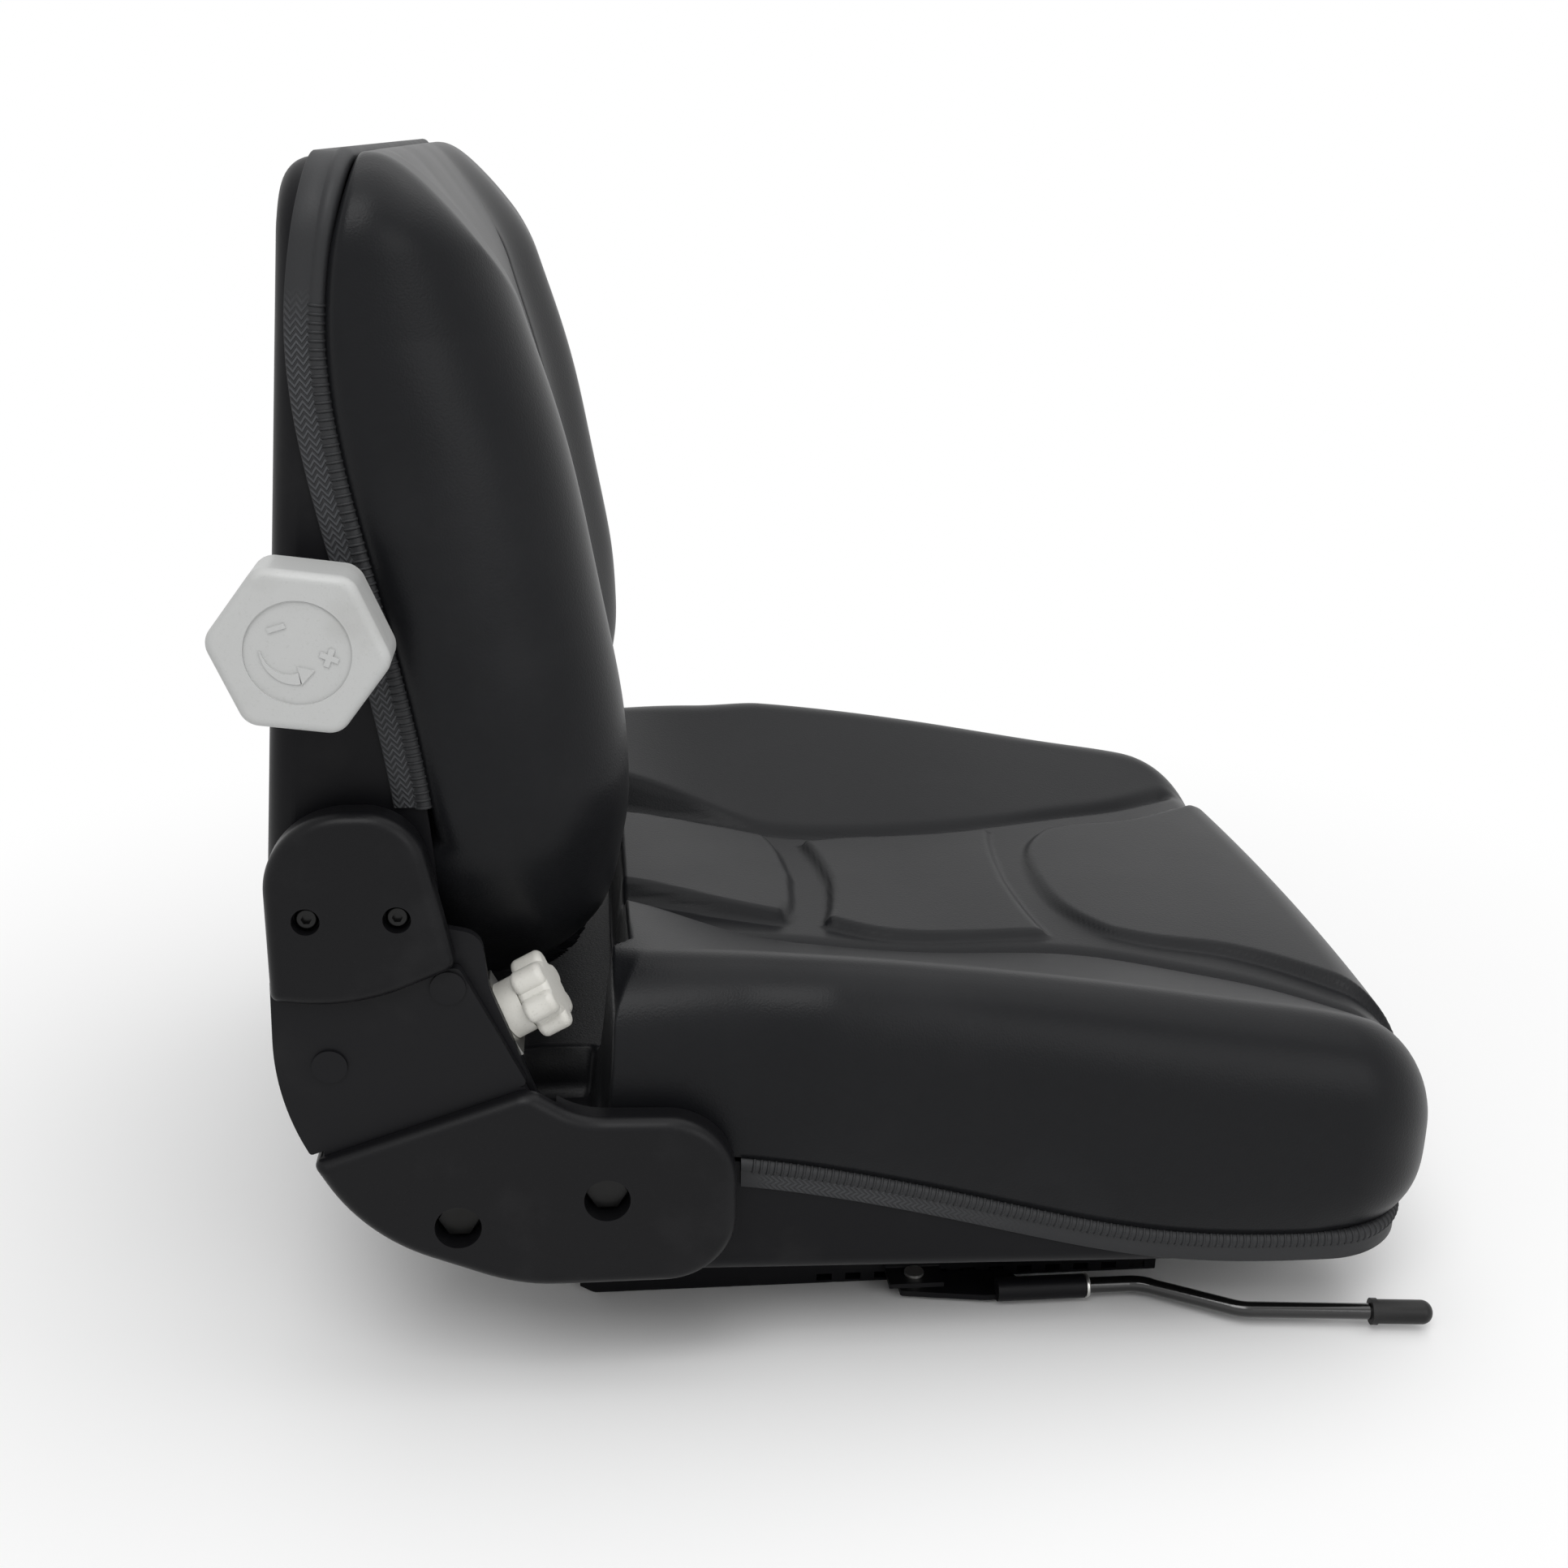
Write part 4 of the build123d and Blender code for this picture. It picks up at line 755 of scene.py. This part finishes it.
# %% Back outline and front
back_top = 553
back_bottom = 173
back_crest = smooth_line((173, -150), (204, -135), (222, -129), (242, -125), (262, -123),
                         (289, -123), (316, -125), (346, -130), (382, -137), (428, -146.5),
                         (458, -155), (482, -163), (508, -172), (530, -181), (553, -191))
back_recess = smooth_line((173, 8), (230, 14), (300, 15), (480, 15), (553, 11))
back_rim = smooth_line((130, -207), (190, -206), (285, -210), (395, -231), (490, -243),
                       (551, -232), (591, -222))
back_corner = 38
narrow_below = 290
foot_inset = 86
side_line = 113
side_line_depth = 6


def back_half(z):
    """Half width of the back cushion at height z."""
    low = np.clip((narrow_below - z) / (narrow_below - back_bottom), 0, 1)
    bend = quarter(z - (back_top - back_corner), back_corner)
    return foam_half - foot_inset * low**1.8 - back_corner + bend


def back_front(z, y):
    """Front of the cushion before its border rolls over."""
    y = np.abs(y)
    crest_x = back_crest(z)
    panel = crest_x - back_recess(z)
    front = panel + (crest_x - panel) * step((y - 118) / 52)
    line = np.exp(-((y - side_line) / 4)**2) * step((z - 195) / 15) * step((512 - z) / 15)
    return front - side_line_depth * line


def back_foam_grid():
    """Grid of the back cushion, with z as its first coordinate and y as its second."""
    u = shares(spread(back_bottom, back_top,
                      lambda a: end_spacing(np.minimum(a - back_bottom, back_top - a))))
    v = shares(places_across())
    reach = back_corner * math.sqrt(0.5)
    low, high = back_bottom + 3, back_top - back_corner + reach
    a = low + u * (high - low)
    side = np.stack([a, back_half(a)], 1)
    b = side[0, 1] * (2 * v - 1)
    bottom = back_bottom + 3 * step((np.abs(b) - side[0, 1] + 19) / 19)
    top_b = side[-1, 1] * (2 * v - 1)
    top = back_top - back_corner + quarter(np.abs(top_b) - (foam_half - back_corner), back_corner)
    return coons(side, np.stack([bottom, b], 1), np.stack([top, top_b], 1), u, v)


def back_lower_edge(z):
    """Place of the foam's rear edge: on the bead, and inside the pan below the hinge covers."""
    return back_rim(z) + bead_top - 1 - 12 * step((270 - z) / 12)


print("back outline:", 2 * foam_half, "mm wide,", back_top - back_bottom, "mm tall")

# %% [markdown]
# The back's border rolls over in a wide curve at the sides and the top, and in a tight one at
# the foot. Its rear is level, and in front of the place that the lumbar plate reaches when it
# is pushed forwards.

# %% Back cushion
back_rear = -223.0
grid = back_foam_grid()
rim = border_of(*grid.shape[:2])
flat_grid = grid.reshape(-1, 2)
border = flat_grid[rim]
distance, facing = border_distance(flat_grid, border, 80.0)
z, y = flat_grid.T
at_top = facing * step((z - 400) / 80)
at_foot = facing * step((260 - z) / 50)
radius = 62 - 40 * at_foot
depth = 66 - 4 * at_top - 41 * at_foot
back_x = rolled(back_front(z, y), distance, radius, depth, back_lower_edge(z))
tuck = np.full(len(border), 6.0)
rings = wall_rings(border, back_x[rim], back_lower_edge(border[:, 0]), tuck, back_rear)
back_cushion = cushion("moulded_back_cushion", grid, back_x, rings, (363.0, 0.0, back_rear + 1),
                       standing)

# %% [markdown]
# The edging is one extruded strip: a round bead on top, a deep flat outside the sheet and a
# short lip inside it. It is a section carried along the pan's rim. At each point of the rim
# the section stands upright and faces outwards, and the UV map keeps its length.

# %% Edging strips
bead_radius = 3.9
bead_out = -0.35
seat_flat = 12
back_flat = 13.5


def strip_section(deep):
    """Section of the edging as (outwards, up) from the rim's outer edge."""
    bead = [(bead_out + bead_radius * math.cos(math.radians(t)),
             bead_middle + bead_radius * math.sin(math.radians(t))) for t in range(-45, 226, 15)]
    foot = bead_middle - 3.3
    flat = [(0.1, -deep), (1.8, -deep), (2.2, 0.5 - deep), (2.2, -7), (2.2, foot)]
    lip = [(-3.6, foot), (-3.6, foot - 2), (-3.2, foot - 2.4), (-1.6, foot - 2.4), (-1.6, foot),
           (0.1, foot)]
    return np.array(flat + bead + lip)


def rim_path(half, middle, count):
    """Evenly spaced points of a rim, from one end round to the other, and their distances."""
    fine = np.concatenate([half, middle, (half * (1, -1))[::-1]])
    run = np.concatenate([[0], np.cumsum(np.hypot(*np.diff(fine, axis=0).T))])
    even = np.linspace(0, run[-1], count)
    return np.stack([np.interp(even, run, fine[:, i]) for i in (0, 1)], 1), even


def strip_piece(name, path, length, height, place, shown, deep):
    """Edging along a path, with its UV map in millimetres and the attribute pattern."""
    section = strip_section(deep)
    out = -inward_open(path)
    count, sides = len(path), len(section)
    points = []
    for (a, b), (na, nb), h in zip(path, out, height):
        points += [place(a + na * o, b + nb * o, h + up) for o, up in section]
    faces = []
    for i in range(count - 1):
        for j in range(sides):
            k = (j + 1) % sides
            faces.append((i * sides + j, i * sides + k, (i + 1) * sides + k, (i + 1) * sides + j))
    faces += [tuple(range(sides)), tuple((count - 1) * sides + j for j in range(sides))]
    piece = mesh_piece(name, np.array(points) * MM, faces)
    piece.data.set_sharp_from_angle(angle=math.radians(50))
    travel = np.concatenate([[0], np.cumsum(np.hypot(*np.diff(section, axis=0).T))])
    uv = piece.data.uv_layers.new(name="strip")
    for loop in piece.data.loops:
        i, j = divmod(loop.vertex_index, sides)
        uv.data[loop.index].uv = (length[i], travel[j])
    on_flat = (section[:, 0] > 2) & (section[:, 1] < bead_middle - 3)
    pattern = piece.data.attributes.new("pattern", "FLOAT", "POINT")
    pattern.data.foreach_set("value", np.outer(shown, on_flat).ravel().astype(np.float32))
    piece.data.materials.append(edging.material)
    return piece


def inward_open(path):
    """Unit directions to the inside of an open path."""
    run = np.gradient(path, axis=0)
    normal = np.stack([-run[:, 1], run[:, 0]], 1) / np.hypot(*run.T)[:, None]
    centre = path.mean(0)
    return normal * np.sign(((centre - path) * normal).sum(1).mean())


trim_start = -74
cx, cy, corner = seat_corner(0)
side_x = np.linspace(trim_start, cx + corner * math.sqrt(0.5), 400)
near_side = np.stack([side_x, -seat_half(side_x, 0)], 1)
end_y = np.linspace(near_side[-1, 1], -near_side[-1, 1], 500)[1:-1]
seat_path, seat_run = rim_path(near_side, np.stack([seat_end(end_y, 0), end_y], 1), 560)
seat_shown = 0.5 * step((seat_run - 5) / 12) * step((150 - seat_run) / 90)
seat_strip = strip_piece("seat_edging", seat_path, seat_run, seat_rim(seat_path[:, 0]), lying,
                         seat_shown, seat_flat)
print("seat edging, mm:", round(seat_run[-1]))

# %% [markdown]
# The back's edging runs from one hinge up the side, round two tight corners and down to the
# other hinge. Its strokes show on both sides and fade out towards the top.

# %% Back edging
pan_top, pan_corner, back_start = 551, 30, 288
arc = np.radians(np.linspace(0, 90, 60))
up_side = np.stack([np.linspace(back_start, pan_top - pan_corner, 200), np.full(200, -pan_half)], 1)
round_corner = np.stack([pan_top - pan_corner + pan_corner * np.sin(arc),
                         -pan_half + pan_corner - pan_corner * np.cos(arc)], 1)
near_side = np.concatenate([up_side, round_corner[1:]])
top_y = np.linspace(-pan_half + pan_corner, pan_half - pan_corner, 300)[1:-1]
top_run = np.stack([np.full(len(top_y), pan_top), top_y], 1)
back_path, back_run = rim_path(near_side, top_run, 520)
back_shown = step((505 - back_path[:, 0]) / 25)
back_strip = strip_piece("back_edging", back_path, back_run, back_rim(back_path[:, 0]), standing,
                         back_shown, back_flat)
print("back edging, mm:", round(back_run[-1]))

# %% [markdown]
# The bead has fine cross ribs, a rib every few millimetres over more than a metre. That is a
# job for Geometry Nodes: a curve along the bead is resampled by the pitch, and one small
# ring is set on each of its points, turned to the curve. The seat's ribs stop just short of
# the strip's ends. The back's stop below its corners, where the bead is smooth.

# %% Ribs on the bead


def rib_tree():
    """Node tree that strings rings along the edges of a mesh."""
    tree = bpy.data.node_groups.new("bead_ribs", "GeometryNodeTree")
    sockets = tree.interface
    sockets.new_socket("Line", in_out="INPUT", socket_type="NodeSocketGeometry")
    for name in ("Pitch", "Bead radius", "Rib radius"):
        sockets.new_socket(name, in_out="INPUT", socket_type="NodeSocketFloat")
    sockets.new_socket("Finish", in_out="INPUT", socket_type="NodeSocketMaterial")
    sockets.new_socket("Ribs", in_out="OUTPUT", socket_type="NodeSocketGeometry")
    given = add_node(tree, "NodeGroupInput").outputs
    line = add_node(tree, "GeometryNodeMeshToCurve", None, {"Mesh": given["Line"]})
    even = add_node(tree, "GeometryNodeResampleCurve", {"mode": "LENGTH"},
                    {"Curve": line.outputs[0], "Length": given["Pitch"]})
    ring = add_node(tree, "GeometryNodeCurvePrimitiveCircle", None,
                    {"Resolution": 18, "Radius": given["Bead radius"]})
    wire = add_node(tree, "GeometryNodeCurvePrimitiveCircle", None,
                    {"Resolution": 5, "Radius": given["Rib radius"]})
    rib = add_node(tree, "GeometryNodeCurveToMesh", None,
                   {"Curve": ring.outputs[0], "Profile Curve": wire.outputs[0]})
    tangent = add_node(tree, "GeometryNodeInputTangent")
    turned = add_node(tree, "FunctionNodeAlignRotationToVector", {"axis": "Z"},
                      {"Vector": tangent.outputs[0]})
    strung = add_node(tree, "GeometryNodeInstanceOnPoints", None,
                      {"Points": even.outputs[0], "Instance": rib.outputs[0],
                       "Rotation": turned.outputs[0]})
    real = add_node(tree, "GeometryNodeRealizeInstances", None, {"Geometry": strung.outputs[0]})
    done = add_node(tree, "GeometryNodeSetMaterial", None,
                    {"Geometry": real.outputs[0], "Material": given["Finish"]})
    add_node(tree, "NodeGroupOutput", None, {"Ribs": done.outputs[0]})
    return tree


def baked(name, line_points, breaks, tree, values):
    """Plain mesh that a node tree makes from an open line."""
    line = bpy.data.meshes.new(name + "_line")
    edges = [(i, i + 1) for i in range(len(line_points) - 1) if i not in breaks]
    line.from_pydata([tuple(p) for p in line_points], edges, [])
    maker = bpy.data.objects.new(name + "_maker", line)
    bpy.context.scene.collection.objects.link(maker)
    modifier = maker.modifiers.new("ribs", "NODES")
    modifier.node_group = tree
    for item in tree.interface.items_tree:
        if item.in_out == "INPUT" and item.name in values:
            modifier[item.identifier] = values[item.name]
    bpy.context.view_layer.update()
    seen = maker.evaluated_get(bpy.context.evaluated_depsgraph_get())
    mesh = bpy.data.meshes.new_from_object(seen)
    mesh.name = name
    bpy.data.objects.remove(maker)
    piece = bpy.data.objects.new(name, mesh)
    bpy.context.scene.collection.objects.link(piece)
    return piece


rib_values = {"Pitch": 3.4 * MM, "Bead radius": 3.8 * MM, "Rib radius": 0.75 * MM,
              "Finish": edging.material}
smooth_above = 498
ribs = rib_tree()


def bead_line(path, height, place):
    """Middle of the bead along a rim, in metres."""
    out = -inward_open(path)
    return np.array([place(a + bead_out * na, b + bead_out * nb, h + bead_middle)
                     for (a, b), (na, nb), h in zip(path, out, height)]) * MM


seat_line = bead_line(seat_path, seat_rim(seat_path[:, 0]), lying)[3:-3]
seat_ribs = baked("seat_edging_ribs", seat_line, set(), ribs, rib_values)
ribbed = back_path[:, 0] < smooth_above
back_line = bead_line(back_path, back_rim(back_path[:, 0]), standing)[ribbed]
gap_at = int(np.argmax(np.hypot(*np.diff(back_line[:, 1:], axis=0).T)))
back_ribs = baked("back_edging_ribs", back_line, {gap_at}, ribs, rib_values)
for piece in (seat_ribs, back_ribs):
    print(piece.name, "faces", len(piece.data.polygons))

# %% [markdown]
# The lumbar knob's round recess carries three generic marks: an arrow bent round the middle,
# a plus and a small bar. Each is a thin raised prism on the recess, so it stays sharp when
# the knob turns.

# %% Marks on the lumbar knob
knob_middle = (-253, 368)
recess_face = 272.8
mark_height = 0.7


def prism(outline):
    """Points and faces of a thin raised shape on the knob's recess."""
    count = len(outline)
    points = [(knob_middle[0] + a, -recess_face - lift, knob_middle[1] + b)
              for lift in (0, mark_height) for a, b in outline]
    faces = [tuple(range(count)), tuple(range(count, 2 * count))]
    faces += [(i, (i + 1) % count, count + (i + 1) % count, count + i) for i in range(count)]
    return points, faces


def polar(radius, angle):
    """Point at an angle in degrees from the knob's middle."""
    return radius * math.cos(math.radians(angle)), radius * math.sin(math.radians(angle))


def turned(outline, degrees, across, up):
    """Outline turned about its middle and moved to its place in the recess."""
    c, s = math.cos(math.radians(degrees)), math.sin(math.radians(degrees))
    return [(a * c - b * s + across, a * s + b * c + up) for a, b in outline]


sweep = np.linspace(0, 1, 15)
outer = [polar(14.8 - 2.2 * t, 177 + 97 * t) for t in sweep]
inner = [polar(14.2 - 6.3 * t, 177 + 93 * t) for t in sweep]
shaft = outer + inner[::-1]
head = [(-0.4, -5.6), (0.6, -13.2), (6.2, -7.2)]
plus = [(-1.1, -3.8), (1.1, -3.8), (1.1, -1.1), (3.8, -1.1), (3.8, 1.1), (1.1, 1.1), (1.1, 3.8),
        (-1.1, 3.8), (-1.1, 1.1), (-3.8, 1.1), (-3.8, -1.1), (-1.1, -1.1)]
bar = [(-3.6, -1), (3.6, -1), (3.6, 1), (-3.6, 1)]
marks = (shaft, head, turned(plus, -22, 12, -2.1), turned(bar, 17, -7.6, 10))
mark_points, mark_faces = [], []
for outline in marks:
    points, faces = prism(outline)
    mark_faces += [tuple(len(mark_points) + i for i in face) for face in faces]
    mark_points += points
knob_marks = mesh_piece("lumbar_knob_marks", np.array(mark_points) * MM, mark_faces)
knob_marks.data.shade_flat()
knob_marks.data.materials.append(knob_grey.material)
print("raised outlines on the knob:", len(marks))

# %% [markdown]
# Each new piece rides on the CAD body that carries it. The list also gives the record's slot for
# its finish, which nothing reads. The cushions and the edging stand for their CAD solids, which
# stay for collision.

# %% Bodies, slots and what is replaced
riding = (
    (seat_cushion, "seat", "upholstery"), (seat_strip, "seat", "edging"),
    (seat_ribs, "seat", "edging"), (back_cushion, "back", "upholstery"),
    (back_strip, "back", "edging"), (back_ribs, "back", "edging"),
    (knob_marks, "lumbar_spindle", "knob_grey"),
)
for piece, body, slot_name in riding:
    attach(piece, body)
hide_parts("seat_cushion")
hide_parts("back_cushion")
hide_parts("seat_trim")
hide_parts("back_trim")
print("pieces that ride on a body:", len(riding))

# %% [markdown]
# The studio is a pale floor under three large soft lights. The key hangs above, and lays the
# broad sheen on the cushions' tops. A weak light fills the front. The third stands above the
# near side, and lays a band of sheen on its upper edge. A little way from the seat the floor
# turns into plain white, so no horizon shows.

# %% Floor, lights and background


def light_rays(tree):
    """1 for rays that should see the white background: camera, glossy and transmission."""
    rays = add_node(tree, "ShaderNodeLightPath").outputs
    total = Field(tree, rays["Is Camera Ray"]) + Field(tree, rays["Is Glossy Ray"])
    total = total + Field(tree, rays["Is Transmission Ray"])
    return total.ramp(0, 1)


floor_mesh = bpy.data.meshes.new("floor")
floor_reach = 12
floor_level = -0.0003
corners = [(a * floor_reach, b * floor_reach, floor_level)
           for a, b in ((-1, -1), (1, -1), (1, 1), (-1, 1))]
floor_mesh.from_pydata(corners, [], [(0, 1, 2, 3)])
floor = bpy.data.objects.new("floor", floor_mesh)
bpy.context.scene.collection.objects.link(floor)
pale = Finish("pale_floor", (0.88, 0.88, 0.88), 0.8)
pale.bump(pale.noise(40, 2), 0.00002)
length = add_node(pale.tree, "ShaderNodeVectorMath", {"operation": "LENGTH"}, {0: pale.place})
far = Field(pale.tree, length.outputs["Value"]).ramp(0.2, 0.85)
white = add_node(pale.tree, "ShaderNodeEmission", None, {"Color": (1, 1, 1, 1), "Strength": 1.0})
blend = add_node(pale.tree, "ShaderNodeMixShader", None,
                 {0: far * light_rays(pale.tree), 1: pale.shader.outputs[0], 2: white.outputs[0]})
pale.tree.links.new(blend.outputs[0], pale.output.inputs["Surface"])
floor_mesh.materials.append(pale.material)
floor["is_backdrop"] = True


def softbox(name, place, target, size, power):
    """Large square light that faces its target."""
    lamp = bpy.data.lights.new(name, "AREA")
    lamp.size = size
    lamp.energy = power
    holder = bpy.data.objects.new(name, lamp)
    holder.location = place
    holder.rotation_euler = (Vector(target) - Vector(place)).to_track_quat("-Z", "Y").to_euler()
    bpy.context.scene.collection.objects.link(holder)


middle = (0, 0, 0.25)
softbox("key_above", (0.4, 0.1, 2.4), middle, 2.8, 32)
softbox("fill_front", (1.2, -1.9, 1.0), middle, 1.2, 9)
softbox("band_above", (-0.5, -1.7, 2.2), middle, 1.3, 26)
lamps = [thing.name for thing in bpy.data.objects if thing.type == "LIGHT"]

world = bpy.data.worlds.new("studio")
bpy.context.scene.world = world
world.use_nodes = True
world.node_tree.nodes.clear()
around, behind = (add_node(world.node_tree, "ShaderNodeBackground", None,
                           {"Color": (1, 1, 1, 1), "Strength": strength})
                  for strength in (0.42, 1.0))
chosen = add_node(world.node_tree, "ShaderNodeMixShader", None,
                  {0: light_rays(world.node_tree), 1: around.outputs[0], 2: behind.outputs[0]})
add_node(world.node_tree, "ShaderNodeOutputWorld", None, {"Surface": chosen.outputs[0]})
print("lights:", ", ".join(lamps))

# %% [markdown]
# Blender must not change the seat's size. The box of the CAD model and the box of what now
# shows are written side by side, so the two can be compared after each render.

# %% Sizes and finish
visual_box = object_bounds()
for label, box in (("CAD", cad_box), ("visual", visual_box)):
    print(label, [round((h - l) * 1000) for l, h in zip(*box)])
